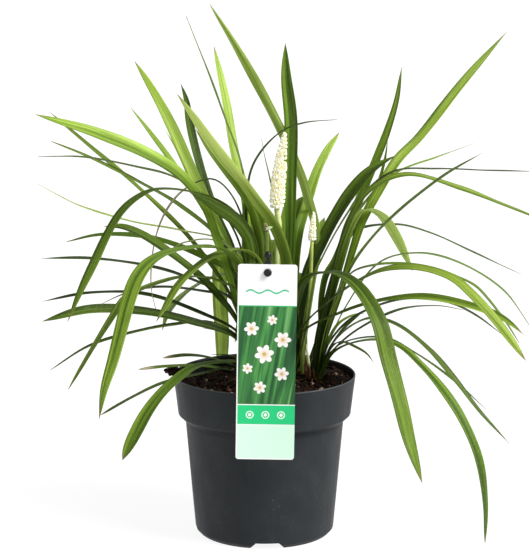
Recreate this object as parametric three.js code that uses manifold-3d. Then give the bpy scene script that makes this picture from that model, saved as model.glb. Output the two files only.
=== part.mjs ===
// A white-flowering lilyturf (Liriope muscari) in its round plastic nursery pot, with a hanging plant label.
//
// Units are millimetres and +Z is up. The origin is on the surface that the pot stands on, under its axis.
// -Y is the front, where the label hangs. Azimuths are degrees from +X towards +Y.
import * as THREE from "three";
import { mergeVertices } from "three/addons/utils/BufferGeometryUtils.js";
import Module from "manifold-3d";

const wasm = await Module();
wasm.setup();

// Pot: a 17 cm nursery pot with a deep collar.
const POT_HEIGHT = 150;
const RIM_RADIUS = 85;
const COLLAR_FOOT_RADIUS = 80.8;
const COLLAR_FOOT_HEIGHT = 113.3;
const BODY_TOP_RADIUS = 74;
const BODY_TOP_HEIGHT = 107.3;
const BODY_FOOT_RADIUS = 65.3;
const FOOT_RADIUS = 62.3;
const POT_WALL = 1.6;
const POT_SIDES = 36;
const FLOOR_UNDERSIDE = 6;
const FLOOR_TOP = 8;
const PAD_RADIUS = 18;
const PAD_FLOOR = 2;
const NOTCH_BOTTOM = 31;
const NOTCH_TOP = 20.5;
const NOTCH_HEIGHT = 5.8;
const NOTCH_TURN = 2.3;
const NOTCH_COUNT = 4;
const NOTCH_INNER_END = 45;
const NOTCH_CUT_DEPTH = 30;
const DRAIN_RADIUS = 5;
const DRAIN_RING = 45;
const DRAIN_COUNT = 8;
const DRAIN_SIDES = 10;

// Soil
const SOIL_HEIGHT = 138;
const SOIL_RINGS = [64, 42, 20, 0];
const GAP = 0.3;
const CROWN_RADIUS = 9.5;
const CROWN_NECK = 0.86;
const CROWN_RISE = 27;
const CROWN_DEPTH = 10;
const CROWN_SIDES = 10;

// Leaves: strap blades with a shallow V section, sharp edges and a pointed tip.
const BLADE_THICKNESS = 1.1;
const BLADE_FOLD = 0.22;
const TIP_THINNESS = 0.6;
const BASE_SHARE = 0.46;
const WIDEST_AT = 0.58;
const ROOT_REACH = 3;
const ROOT_DEPTH = 7;
const LONGEST_STEP = 75;
const LARGEST_TURN = 30;
const SPINE_SAMPLES = 160;

// Fans of leaves. Each leaf is one row: azimuth, greatest width, twist at the root, twist at the tip, how
// blunt the tip is (2 for a long point, 4.5 for a short one), and then the places it passes as [reach from
// the crown, height above the ground].
const FANS = {
  fan_left: {
    crown: [-14, 10],
    leaves: [
      [160, 7.8, -10, -10, 5, [7, 184], [19, 220], [60, 273], [121, 326], [164, 358], [204, 388]],
      [140, 12, -25, -20, 5, [18, 244], [55, 306], [73, 335], [90, 363], [108, 390], [130, 418],
        [146, 436]],
      [155, 8.5, -12, -12, 6, [18, 250], [46, 300], [82, 345], [107, 374], [125, 394]],
      [125, 10, 0, 0, 6, [24, 250], [61, 298], [77, 323], [87, 342], [96, 361], [103, 380], [108, 399],
        [118, 415]],
      [165, 8.5, -8, -8, 5, [6, 227], [24, 269], [67, 304], [109, 326], [158, 348], [196, 362]],
      [191, 8.8, 0, 0, 7, [3, 246], [23, 298], [67, 333], [103, 344], [153, 354], [193, 355]],
      [188, 6.5, 0, 0, 6, [4, 241], [23, 273], [65, 285], [110, 294], [156, 309], [193, 329]],
      [174, 9.4, -20, -20, 5.5, [1, 203], [12, 239], [46, 259], [93, 275], [141, 277], [173, 270]],
      [196, 9.4, -8, -8, 7, [2, 184], [12, 214], [63, 243], [105, 256], [149, 263], [194, 265]],
      [170, 8, -12, -12, 6, [2, 170], [12, 187], [47, 204], [99, 220], [152, 220], [202, 210]],
      [140, 13, 0, 0, 5, [4, 217], [27, 239], [49, 233], [69, 223], [87, 211], [104, 194], [113, 174]],
      [196, 7, -8, -8, 6, [4, 175], [35, 198], [75, 198], [116, 192], [153, 182], [188, 162]],
      [182, 5, 0, 0, 3.2, [3, 168], [19, 185], [31, 189], [43, 191]],
      [184, 8.8, 0, 0, 6, [-2, 202], [13, 219], [46, 227], [79, 231], [103, 229], [122, 223],
        [139, 215]],
      [178, 6, 0, 0, 4, [3, 227], [20, 268], [32, 274], [43, 275], [55, 273], [65, 270], [74, 264],
        [88, 254]],
    ],
  },
  fan_front_left: {
    crown: [-6, -14],
    leaves: [
      [200, 12, -50, -65, 4.6, [22, 223], [39, 278], [52, 312], [74, 340], [105, 360], [150, 379],
        [203, 396]],
      [225, 11, 5, 5, 5, [-8, 221], [-5, 257], [-1, 282], [9, 306], [23, 325], [41, 344], [60, 363],
        [76, 382]],
      [231, 10, 0, 0, 3.2, [-13, 220], [-15, 255], [-13, 276], [-7, 291], [0, 304], [10, 318],
        [18, 329]],
      [186, 7, 0, 0, 5, [2, 241], [23, 318], [41, 334], [62, 328], [79, 312], [93, 283], [98, 237],
        [93, 211]],
      [217, 9.6, 60, -40, 5.5, [10, 282], [28, 304], [53, 320], [78, 328], [111, 331], [132, 324],
        [147, 313], [160, 296], [173, 274], [188, 249], [201, 224]],
      [226, 12.5, 80, 55, 3.2, [9, 274], [19, 290], [32, 301], [47, 309], [61, 317], [74, 323],
        [88, 330]],
      [205, 11, -42, -48, 5, [20, 201], [41, 230], [58, 248], [81, 267], [96, 278], [113, 289],
        [131, 297], [148, 298]],
      [238, 14, -8, 0, 5.5, [22, 244], [56, 275], [86, 282], [117, 284], [149, 283], [172, 277],
        [187, 266], [197, 251], [208, 228], [219, 205], [232, 182], [239, 160]],
      [222, 9.4, 0, 0, 5, [16, 224], [52, 247], [86, 253], [114, 251], [136, 247], [153, 241],
        [165, 228], [185, 205], [199, 188], [213, 171]],
      [200, 11, -25, -45, 4.4, [8, 166], [20, 187], [67, 207], [114, 219], [160, 223], [201, 215]],
      [230, 11.4, 0, 0, 5, [-9, 211], [1, 258], [22, 271], [47, 272], [68, 268], [88, 260], [107, 249],
        [126, 230], [135, 221]],
      [200, 6.8, -10, -10, 14, [8, 152], [40, 169], [68, 175], [92, 174]],
      [208, 6, -10, -10, 12, [8, 149], [52, 165], [90, 169], [120, 169]],
      [216, 7, 0, 0, 8, [25, 161], [61, 161], [103, 158], [134, 150], [168, 138]],
      [230, 14.2, 0, 0, 11, [11, 162], [50, 172], [89, 173], [111, 166], [131, 156], [147, 144],
        [160, 130], [170, 118], [178, 108]],
      [350, 8.4, 0, 0, 5, [-6, 231], [-10, 320], [-3, 349], [20, 376], [43, 385], [72, 388]],
      [262, 7, 0, 0, 3, [6, 164], [16, 184], [32, 190]],
      [186, 6, 0, 0, 3, [8, 156], [24, 170], [44, 172]],
    ],
  },
  fan_front_right: {
    crown: [18, -12],
    leaves: [
      [222, 12.5, 26, 20, 4.5, [-5, 244], [2, 271], [14, 293], [31, 312], [50, 333], [72, 355],
        [89, 373], [104, 391], [124, 414]],
      [345, 7, 0, 0, 3.2, [21, 196], [26, 231], [30, 250], [36, 263], [42, 275], [48, 286], [54, 296],
        [61, 307], [67, 317], [88, 337]],
      [330, 9.8, 4, 36, 8, [16, 193], [56, 232], [80, 248], [102, 258], [127, 262], [151, 260],
        [170, 254], [184, 244], [202, 228], [219, 210], [236, 190]],
      [335, 10, 5, 30, 6, [15, 189], [54, 213], [94, 228], [127, 234], [151, 234], [178, 230],
        [201, 224], [215, 217], [227, 208]],
      [302, 16.6, 0, 0, 6, [14, 205], [35, 245], [81, 258], [117, 250], [147, 226], [162, 195],
        [178, 163], [192, 132], [211, 100]],
      [280, 7, 0, 0, 3, [8, 160], [22, 176], [40, 176]],
    ],
  },
  fan_right: {
    crown: [46, 12],
    leaves: [
      [38, 10.4, 22, 28, 3.4, [8, 162], [35, 226], [48, 260], [60, 287], [80, 314], [103, 342],
        [132, 363], [190, 415], [251, 464]],
      [29, 14.6, 50, -42, 4, [5, 174], [20, 225], [35, 267], [43, 286], [55, 299], [74, 292], [91, 271],
        [111, 236]],
      [12, 8.6, 8, 32, 5, [9, 188], [15, 221], [26, 270], [49, 315], [86, 333], [142, 319], [186, 302],
        [227, 286]],
      [345, 10.4, -10, -10, 5, [11, 184], [33, 245], [54, 277], [80, 304], [119, 336], [154, 358]],
      [352, 7, 0, 0, 5, [12, 170], [30, 212], [62, 255], [97, 264], [136, 255], [176, 230], [203, 194]],
      [345, 8.8, 0, 0, 8, [12, 175], [21, 222], [36, 245], [58, 253], [81, 255], [114, 252], [137, 244],
        [151, 237], [164, 224], [180, 204], [192, 186]],
      [3, 8, 5, 5, 6, [11, 169], [34, 198], [81, 217], [126, 214], [152, 202], [181, 181]],
      [18, 6, 0, 0, 3.2, [13, 159], [37, 182], [86, 203], [126, 205], [154, 199]],
      [338, 12.2, 0, 0, 3.4, [20, 179], [48, 202], [65, 204], [85, 198], [113, 178], [137, 153],
        [161, 125], [189, 98]],
      [322, 13, 0, 0, 5.5, [24, 171], [67, 188], [97, 185], [118, 172], [140, 154], [162, 129],
        [180, 96], [188, 56], [189, 20]],
      [345, 6, 0, 0, 5, [13, 164], [30, 179], [68, 185], [97, 172], [133, 148], [163, 123]],
      [330, 5, 0, 0, 3.2, [12, 161], [26, 180], [47, 176], [57, 171], [63, 164]],
      [8, 6, 10, 10, 5, [14, 167], [26, 186], [37, 197], [48, 206]],
      [25, 6, 0, 0, 5, [13, 170], [26, 192], [44, 200], [54, 200]],
    ],
  },
  fan_back_right: {
    crown: [34, 42],
    leaves: [
      [213, 10.5, 30, 25, 4.2, [-7, 187], [-18, 268], [-16, 286], [-9, 307], [-2, 327], [14, 359],
        [42, 407], [73, 454], [99, 490]],
      [67, 11, 0, 0, 4.6, [-13, 214], [-12, 258], [-4, 280], [13, 299], [27, 315], [43, 331], [70, 349],
        [104, 365]],
      [45, 9.8, 10, 10, 3.8, [28, 179], [29, 203], [32, 220], [37, 233], [49, 245], [64, 268],
        [86, 305], [108, 339], [125, 368], [138, 397], [145, 429]],
      [40, 6, 0, 0, 3.2, [28, 184], [44, 222], [59, 260], [83, 288], [100, 314], [108, 332], [112, 347],
        [114, 361]],
      [14, 16, 35, 25, 4.6, [-1, 183], [7, 235], [20, 264], [34, 290], [50, 314], [70, 335], [94, 348]],
      [12, 7, 0, 0, 5, [21, 192], [33, 240], [48, 292], [88, 332], [134, 335], [192, 332], [244, 330]],
      [25, 6, 0, 0, 3.2, [23, 181], [35, 229], [53, 281], [99, 327], [149, 343], [191, 355]],
      [14, 8, 5, 5, 5, [22, 182], [34, 225], [49, 273], [93, 282], [132, 272], [177, 251], [226, 228]],
      [50, 14.5, 0, 0, 8, [6, 185], [16, 230], [25, 260], [31, 277], [37, 288]],
      [86, 9, 0, 0, 3, [9, 180], [30, 214], [62, 228], [98, 206], [128, 158]],
      [112, 9, 0, 0, 3, [10, 170], [30, 196], [58, 204], [90, 186], [116, 146]],
      [104, 9, 0, 0, 3, [10, 175], [34, 202], [70, 206], [104, 178], [126, 132]],
      [120, 8, 0, 0, 3, [8, 160], [28, 178], [58, 180], [92, 156], [110, 126]],
      [95, 8, 0, 0, 3, [6, 158], [24, 172], [56, 170], [84, 150]],
    ],
  },
  fan_back_left: {
    crown: [0, 38],
    leaves: [
      [145, 6, 0, 0, 5, [46, 257], [79, 308], [93, 332], [104, 350], [119, 370]],
      [115, 8.8, -10, -10, 5.5, [33, 247], [47, 313], [68, 346], [90, 398], [119, 450]],
      [112, 16, 0, 0, 5, [51, 242], [98, 248], [118, 233], [121, 198], [115, 157], [117, 97]],
      [84, 10, 0, 0, 3, [10, 190], [36, 246], [78, 260], [122, 218], [150, 154]],
      [98, 9, 0, 0, 3, [8, 185], [30, 222], [66, 232], [108, 204], [140, 150]],
      [70, 9, 0, 0, 3, [9, 180], [32, 214], [70, 218], [108, 186], [130, 140]],
      [105, 8, 0, 0, 3, [12, 165], [40, 186], [84, 182], [118, 148]],
      [78, 8, 0, 0, 3, [7, 160], [24, 184], [56, 190], [96, 170], [124, 134]],
      [90, 10, 10, 10, 3, [5, 200], [14, 240], [34, 262], [70, 262], [112, 226], [140, 172]],
    ],
  },
  fan_middle: {
    crown: [16, 18],
    leaves: [
      [172, 6.5, 0, 0, 5, [24, 263], [39, 347], [56, 394], [72, 437], [89, 479]],
      [40, 12.6, 50, 50, 5.5, [3, 197], [8, 260], [10, 326], [11, 383], [5, 426], [4, 455]],
      [170, 6, 0, 0, 3.2, [1, 226], [3, 282], [11, 329], [16, 351], [19, 367]],
      [150, 9, -30, -30, 3.2, [21, 185], [37, 249], [40, 285], [41, 312]],
      [200, 9, 30, 30, 3.2, [12, 188], [25, 251], [27, 270], [26, 286]],
      [60, 8, 30, 30, 3.2, [-1, 188], [-1, 252], [1, 287], [4, 307]],
      [71.5, 11, 0, 0, 7, [18, 205], [33, 262], [45, 292], [57, 303], [72, 307]],
      [300, 6, 0, 0, 3, [3, 180], [8, 220], [14, 246]],
      [92, 8, 0, 0, 3, [7, 190], [20, 234], [44, 256], [80, 252]],
    ],
  },
};

// Flower spikes. Each has the route of the middle of its stalk, out of the soil and up, and of its head.
// The taper says how full a head is: 1 for a plain cone, and more for one that narrows late.
const SPIKES = {
  spike_1: {
    stalk: [[12, 2, 122], [12.4, 0, 200], [11.5, -1.6, 262], [13.2, -2, 289], [11.2, -2, 304.8]],
    head: [[11.3, -2, 305.6], [12.6, -2, 328.5], [15, -2, 349.6], [18.4, -2, 374]],
    stalkRadius: [1.9, 2.6],
    headRadius: 7.2,
    taper: 2.6,
    buds: 62,
    budLength: 5.2,
  },
  spike_2: {
    stalk: [[36, 28, 122], [36.3, 27.4, 171], [39.7, 27, 191], [42.8, 27, 220], [44.6, 27, 270.9]],
    head: [[44.6, 27, 271.5], [45.2, 27, 284], [46.3, 27, 297.5]],
    stalkRadius: [1.9, 1.6],
    headRadius: 4.3,
    taper: 1.6,
    buds: 22,
    budLength: 3.7,
  },
  spike_3: {
    stalk: [[1.8, -38, 122], [2, -38, 200], [2, -38, 250], [1.8, -38, 288.6]],
    head: [[1.8, -38, 289.2], [1.3, -38, 292.4], [0.7, -38, 296]],
    stalkRadius: [2.6, 2.4],
    headRadius: 2.9,
    taper: 1.9,
    buds: 6,
    budLength: 3.8,
  },
};
const BUD_WIDTH_SHARE = 0.78;
const BUD_LIFT = 50;
const GOLDEN_TURN = 137.508;
const BUD_SINK = 0.36;
const CORE_SINK = 0.42;
const CORE_TIP = 0.4;
const CORE_STEPS = 5;
const CORE_SIDES = 7;
const FOOT_FULLNESS = 0.86;
const HEAD_TIP_SHARE = 0.2;
const TIP_BUD_SHARE = 0.5;
const FIRST_BUD = 0.45;
const STALK_SIDES = 8;
const STALK_STEPS = 7;

// Label card, hanging upright in front of the pot from the peg's knob.
const CARD_WIDTH = 51.6;
const CARD_HEIGHT = 174.5;
const CARD_THICKNESS = 0.8;
const CARD_CORNER = 2.5;
const CARD_HOLE_RADIUS = 3.5;
const CARD_HOLE_BELOW_TOP = 7.4;
const CARD_MIDDLE = [1.5, -91.6, 179.8];
const CARD_LEAN = 0.9;

// Peg: a plastic stake with a shouldered head, a ball on top and a knob that the card hangs on.
const PEG_FOOT = [0.5, -58, 84];
const PEG_TOP = [3, -88.2, 252];
const PEG_SHAFT_RADIUS = 2.3;
const PEG_PLATE_THICKNESS = 2.4;
const PEG_PLATE_HALF_WIDTH = 4.4;
const PEG_PLATE_LOW = 240;
const PEG_SHOULDER = 267.8;
const PEG_NECK_HALF_WIDTH = 1.7;
const PEG_BALL_RADIUS = 3.2;
const PEG_BALL_HEIGHT = 274.7;
const KNOB_NECK_RADIUS = 2.7;
const KNOB_HEAD_RADIUS = 3.1;
const KNOB_REACH = 5.2;
const KNOB_RISE = 0.35;

const MATERIALS = {
  pot: new THREE.MeshStandardMaterial({ color: 0x3a3d40, roughness: 0.62, metalness: 0 }),
  soil: new THREE.MeshStandardMaterial({ color: 0x2a1c15, roughness: 0.95, metalness: 0 }),
  leaf: new THREE.MeshStandardMaterial({ color: 0x5b8a2c, roughness: 0.45, metalness: 0 }),
  stalk: new THREE.MeshStandardMaterial({ color: 0xb4c46a, roughness: 0.5, metalness: 0 }),
  flowers: new THREE.MeshStandardMaterial({ color: 0xf1ebc8, roughness: 0.55, metalness: 0 }),
  card: new THREE.MeshStandardMaterial({ color: 0xf2f5f1, roughness: 0.35, metalness: 0 }),
  peg: new THREE.MeshStandardMaterial({ color: 0x17191b, roughness: 0.35, metalness: 0 }),
};

// ---- Solids ----

// A closed geometry as a solid, with its shared vertices merged and its faces turned outwards.
function solidOf(geometry) {
  const bare = geometry.index ? geometry.toNonIndexed() : geometry.clone();
  for (const name of Object.keys(bare.attributes)) {
    if (name !== "position") bare.deleteAttribute(name);
  }
  const merged = mergeVertices(bare, 1e-3);
  const faces = [];
  const index = merged.index.array;
  for (let i = 0; i < index.length; i += 3) {
    const [a, b, c] = [index[i], index[i + 1], index[i + 2]];
    if (a !== b && b !== c && c !== a) faces.push(a, b, c);
  }
  const build = (triVerts) =>
    new wasm.Manifold(
      new wasm.Mesh({
        numProp: 3,
        vertProperties: Float32Array.from(merged.attributes.position.array),
        triVerts: Uint32Array.from(triVerts),
      }),
    );
  const solid = build(faces);
  if (solid.volume() > 0) return solid;
  for (let i = 0; i < faces.length; i += 3) {
    [faces[i + 1], faces[i + 2]] = [faces[i + 2], faces[i + 1]];
  }
  return build(faces);
}

// A solid as a named mesh.
function meshOf(name, solid, material) {
  const made = solid.getMesh();
  const geometry = new THREE.BufferGeometry();
  geometry.setAttribute("position", new THREE.BufferAttribute(Float32Array.from(made.vertProperties), 3));
  geometry.setIndex(new THREE.BufferAttribute(Uint32Array.from(made.triVerts), 1));
  geometry.computeVertexNormals();
  const mesh = new THREE.Mesh(geometry, material);
  mesh.name = name;
  return mesh;
}

// Solids fused into one body. A scrap left loose is dropped, and a hollow that the fusing seals is filled.
function joined(solids) {
  const pieces = solids.reduce((all, next) => all.add(next)).decompose();
  return pieces.reduce((largest, next) => (next.volume() > largest.volume() ? next : largest));
}

const pointOf = ([x, y, z]) => new THREE.Vector3(x, y, z);

// A solid of revolution about +Z through (x, y), from [radius, height] pairs that start and end on the axis.
function turned(profile, sides, x = 0, y = 0) {
  const points = profile.map(([radius, height]) => new THREE.Vector2(radius, height));
  return solidOf(new THREE.LatheGeometry(points, sides).rotateX(Math.PI / 2).translate(x, y, 0));
}

// A round plain pin about +Z, used to make holes.
function pin(x, y, radius, low, high, sides) {
  return turned([[0, low], [radius, low], [radius, high], [0, high]], sides, x, y);
}

// Rings of points joined into a closed skin, with a fan of faces at each end.
function skinOf(rings, first, last) {
  const sides = rings[0].length;
  const vertices = [first, ...rings.flat(), last];
  const faces = [];
  const at = (ring, k) => 1 + ring * sides + (k % sides);
  for (let k = 0; k < sides; k += 1) {
    faces.push(0, at(0, k + 1), at(0, k));
    for (let ring = 0; ring + 1 < rings.length; ring += 1) {
      faces.push(at(ring, k), at(ring, k + 1), at(ring + 1, k + 1));
      faces.push(at(ring, k), at(ring + 1, k + 1), at(ring + 1, k));
    }
    faces.push(at(rings.length - 1, k), at(rings.length - 1, k + 1), vertices.length - 1);
  }
  const geometry = new THREE.BufferGeometry().setFromPoints(vertices);
  geometry.setIndex(faces);
  return solidOf(geometry);
}

// A round rod along a curve, its radius given by a function of the share of its length.
function rod(curve, radiusAt, steps, sides) {
  const frames = curve.computeFrenetFrames(steps, false);
  const rings = [];
  for (let i = 0; i <= steps; i += 1) {
    const centre = curve.getPointAt(i / steps);
    const ring = [];
    for (let k = 0; k < sides; k += 1) {
      const angle = (2 * Math.PI * k) / sides;
      ring.push(
        centre
          .clone()
          .addScaledVector(frames.normals[i], radiusAt(i / steps) * Math.cos(angle))
          .addScaledVector(frames.binormals[i], radiusAt(i / steps) * Math.sin(angle)),
      );
    }
    rings.push(ring);
  }
  return skinOf(rings, curve.getPointAt(0), curve.getPointAt(1));
}

// ---- Leaves ----

// A blade's width at a share of its length, as a share of its greatest width.
function widthShare(share, bluntness) {
  if (share < WIDEST_AT) {
    return BASE_SHARE + (1 - BASE_SHARE) * THREE.MathUtils.smoothstep(share, 0, WIDEST_AT);
  }
  return 1 - ((share - WIDEST_AT) / (1 - WIDEST_AT)) ** bluntness;
}

// Shares of a spine's length for a blade's sections: close together in bends, far apart on straight parts,
// and one more near the tip.
function stationsOn(spine) {
  const fine = SPINE_SAMPLES;
  const costs = [0];
  let before = spine.getTangentAt(0);
  for (let i = 1; i <= fine; i += 1) {
    const tangent = spine.getTangentAt(i / fine);
    const turn = THREE.MathUtils.radToDeg(before.angleTo(tangent)) / LARGEST_TURN;
    costs.push(costs[i - 1] + spine.getLength() / fine / LONGEST_STEP + turn);
    before = tangent;
  }
  const count = Math.ceil(costs[fine]);
  const stations = [];
  for (let k = 0, i = 0; k < count; k += 1) {
    const wanted = (costs[fine] * k) / count;
    while (costs[i + 1] < wanted) i += 1;
    stations.push((i + (wanted - costs[i]) / (costs[i + 1] - costs[i])) / fine);
  }
  stations.push((stations.at(-1) + 2) / 3);
  return stations;
}

// One blade: sections of left edge, upper middle, right edge and lower middle, and one point at the tip. The
// section's middle sinks as far as its edges rise, so that it is balanced about the spine.
function blade([x, y], [azimuth, width, twistRoot, twistTip, bluntness, ...route]) {
  const root = [ROOT_REACH, SOIL_HEIGHT - ROOT_DEPTH];
  const places = [root, ...route].map(([reach, height]) => new THREE.Vector3(reach, 0, height));
  const spine = new THREE.CatmullRomCurve3(places, false, "centripetal");
  const level = new THREE.Vector3(0, 1, 0);
  const rings = stationsOn(spine).map((share) => {
    const centre = spine.getPointAt(share);
    const up = spine.getTangentAt(share).cross(level);
    const twist = THREE.MathUtils.degToRad(THREE.MathUtils.lerp(twistRoot, twistTip, share));
    const across = level.clone().multiplyScalar(Math.cos(twist)).addScaledVector(up, Math.sin(twist));
    const face = level.clone().multiplyScalar(-Math.sin(twist)).addScaledVector(up, Math.cos(twist));
    const half = (width / 2) * widthShare(share, bluntness);
    const thick = BLADE_THICKNESS * THREE.MathUtils.lerp(TIP_THINNESS, 1, (2 * half) / width);
    const lift = (half * BLADE_FOLD) / 2;
    const offset = (side, lift) => centre.clone().addScaledVector(across, side).addScaledVector(face, lift);
    return [
      offset(-half, lift),
      offset(0, thick / 2 - lift),
      offset(half, lift),
      offset(0, -thick / 2 - lift),
    ];
  });
  const skin = bladeSkin(rings, spine.getPointAt(1));
  const turn = new THREE.Matrix4().makeRotationZ(THREE.MathUtils.degToRad(azimuth));
  turn.setPosition(x, y, 0);
  return solidOf(skin.applyMatrix4(turn));
}

// The faces of a blade. The upper and lower faces are split along the same diagonals, so they never cross.
function bladeSkin(rings, tip) {
  const [LEFT, UPPER, RIGHT, LOWER] = [0, 1, 2, 3];
  const vertices = [...rings.flat(), tip];
  const end = vertices.length - 1;
  const faces = [LEFT, UPPER, LOWER, UPPER, RIGHT, LOWER];
  for (let ring = 0; ring < rings.length; ring += 1) {
    const here = 4 * ring;
    const next = here + 4;
    for (const [edge, middle] of [[LEFT, UPPER], [UPPER, RIGHT], [RIGHT, LOWER], [LOWER, LEFT]]) {
      if (ring === rings.length - 1) {
        faces.push(here + edge, end, here + middle);
      } else if (edge === LEFT || edge === RIGHT) {
        faces.push(here + edge, next + middle, here + middle);
        faces.push(here + edge, next + edge, next + middle);
      } else {
        faces.push(here + edge, next + edge, here + middle);
        faces.push(next + edge, next + middle, here + middle);
      }
    }
  }
  const geometry = new THREE.BufferGeometry().setFromPoints(vertices);
  geometry.setIndex(faces);
  return geometry;
}

// The short bundle of sheaths that a fan's leaves grow from, sunk in the soil.
function crownStub([x, y]) {
  const profile = [
    [0, SOIL_HEIGHT - CROWN_DEPTH],
    [CROWN_RADIUS * 0.8, SOIL_HEIGHT - CROWN_DEPTH],
    [CROWN_RADIUS, SOIL_HEIGHT],
    [CROWN_RADIUS * CROWN_NECK, SOIL_HEIGHT + CROWN_RISE],
    [0, SOIL_HEIGHT + CROWN_RISE + 4],
  ];
  return turned(profile, CROWN_SIDES, x, y);
}

function fan(name, { crown, leaves }) {
  const solids = [crownStub(crown), ...leaves.map((leaf) => blade(crown, leaf))];
  return meshOf(name, joined(solids), MATERIALS.leaf);
}

// ---- Flower spikes ----

// The share of a head's greatest radius at a share of its height: blunt at the foot, drawn out to the tip.
function headShare(share, taper) {
  const foot = Math.min(1, FOOT_FULLNESS + 1.8 * share);
  return foot * THREE.MathUtils.lerp(1, HEAD_TIP_SHARE, share ** taper);
}

const routeOf = (points) => new THREE.CatmullRomCurve3(points.map(pointOf));

function stalkSolid({ stalk, stalkRadius: [low, high] }) {
  return rod(routeOf(stalk), (share) => THREE.MathUtils.lerp(low, high, share), STALK_STEPS, STALK_SIDES);
}

// A head: a slender core covered with buds that point outwards and up, set round it by the golden angle.
function headSolid({ head, headRadius, taper, buds, budLength }) {
  const axis = routeOf(head);
  const radiusAt = (share) => headRadius * headShare(share, taper);
  const coreRadius = (share) => Math.max(CORE_TIP, radiusAt(share) - CORE_SINK * budLength);
  const solids = [rod(axis, coreRadius, CORE_STEPS, CORE_SIDES)];
  const first = (FIRST_BUD * budLength) / axis.getLength();
  for (let i = 0; i < buds; i += 1) {
    const share = first + ((1 - first) * i) / buds;
    const along = axis.getTangentAt(share);
    const length = budLength * THREE.MathUtils.lerp(1, TIP_BUD_SHARE, share);
    const outward = new THREE.Vector3(1, 0, 0).projectOnPlane(along).normalize();
    outward.applyAxisAngle(along, THREE.MathUtils.degToRad(GOLDEN_TURN * i));
    const lift = THREE.MathUtils.degToRad(BUD_LIFT);
    const pointing = outward.clone().multiplyScalar(Math.cos(lift)).addScaledVector(along, Math.sin(lift));
    const bud = new THREE.OctahedronGeometry(length / 2, 0);
    bud.scale(BUD_WIDTH_SHARE, 1, BUD_WIDTH_SHARE);
    bud.applyQuaternion(new THREE.Quaternion().setFromUnitVectors(new THREE.Vector3(0, 1, 0), pointing));
    const reach = Math.max(0, radiusAt(share) - BUD_SINK * length);
    const place = axis.getPointAt(share).addScaledVector(outward, reach);
    solids.push(solidOf(bud.translate(place.x, place.y, place.z)));
  }
  return joined(solids);
}

// ---- Pot and soil ----

function potSolid() {
  const inner = (radius) => radius - POT_WALL;
  const body = turned(
    [
      [0, 0],
      [PAD_RADIUS, 0],
      [PAD_RADIUS + 4, FLOOR_UNDERSIDE],
      [FOOT_RADIUS - 2, FLOOR_UNDERSIDE],
      [FOOT_RADIUS - 2, 0],
      [FOOT_RADIUS, 0],
      [BODY_FOOT_RADIUS, 4],
      [BODY_TOP_RADIUS, BODY_TOP_HEIGHT],
      [COLLAR_FOOT_RADIUS - 0.5, COLLAR_FOOT_HEIGHT - 0.8],
      [COLLAR_FOOT_RADIUS, COLLAR_FOOT_HEIGHT],
      [RIM_RADIUS, POT_HEIGHT - 1],
      [RIM_RADIUS - 0.5, POT_HEIGHT],
      [inner(RIM_RADIUS), POT_HEIGHT],
      [inner(COLLAR_FOOT_RADIUS), COLLAR_FOOT_HEIGHT + 1],
      [inner(BODY_TOP_RADIUS), BODY_TOP_HEIGHT + 1],
      [inner(BODY_FOOT_RADIUS), FLOOR_TOP],
      [PAD_RADIUS + 2, FLOOR_TOP],
      [PAD_RADIUS - 2, PAD_FLOOR],
      [0, PAD_FLOOR],
    ],
    POT_SIDES,
  );
  return [...notches(), ...drains()].reduce((pot, cut) => pot.subtract(cut), body);
}

// Trapezoid prisms that cut the notches through the foot ring.
function notches() {
  const outline = new THREE.Shape([
    new THREE.Vector2(-NOTCH_BOTTOM / 2, -1),
    new THREE.Vector2(NOTCH_BOTTOM / 2, -1),
    new THREE.Vector2(NOTCH_TOP / 2, NOTCH_HEIGHT),
    new THREE.Vector2(-NOTCH_TOP / 2, NOTCH_HEIGHT),
  ]);
  const cuts = [];
  for (let k = 0; k < NOTCH_COUNT; k += 1) {
    const prism = new THREE.ExtrudeGeometry(outline, { depth: NOTCH_CUT_DEPTH, bevelEnabled: false });
    prism.rotateX(Math.PI / 2).translate(0, -NOTCH_INNER_END, 0);
    prism.rotateZ(THREE.MathUtils.degToRad(NOTCH_TURN + (360 * k) / NOTCH_COUNT));
    cuts.push(solidOf(prism));
  }
  return cuts;
}

function drains() {
  const holes = [];
  for (let k = 0; k < DRAIN_COUNT; k += 1) {
    const angle = (2 * Math.PI * (k + 0.5)) / DRAIN_COUNT;
    const [x, y] = [DRAIN_RING * Math.cos(angle), DRAIN_RING * Math.sin(angle)];
    holes.push(pin(x, y, DRAIN_RADIUS, 1, FLOOR_TOP + 2, DRAIN_SIDES));
  }
  return holes;
}

// The height of the soil's uneven top at a place.
function soilTop(x, y) {
  return SOIL_HEIGHT + 1.1 * Math.sin(x / 9 + 1) * Math.cos(y / 8) + 0.5 * Math.sin((x - y) / 5);
}

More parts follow.
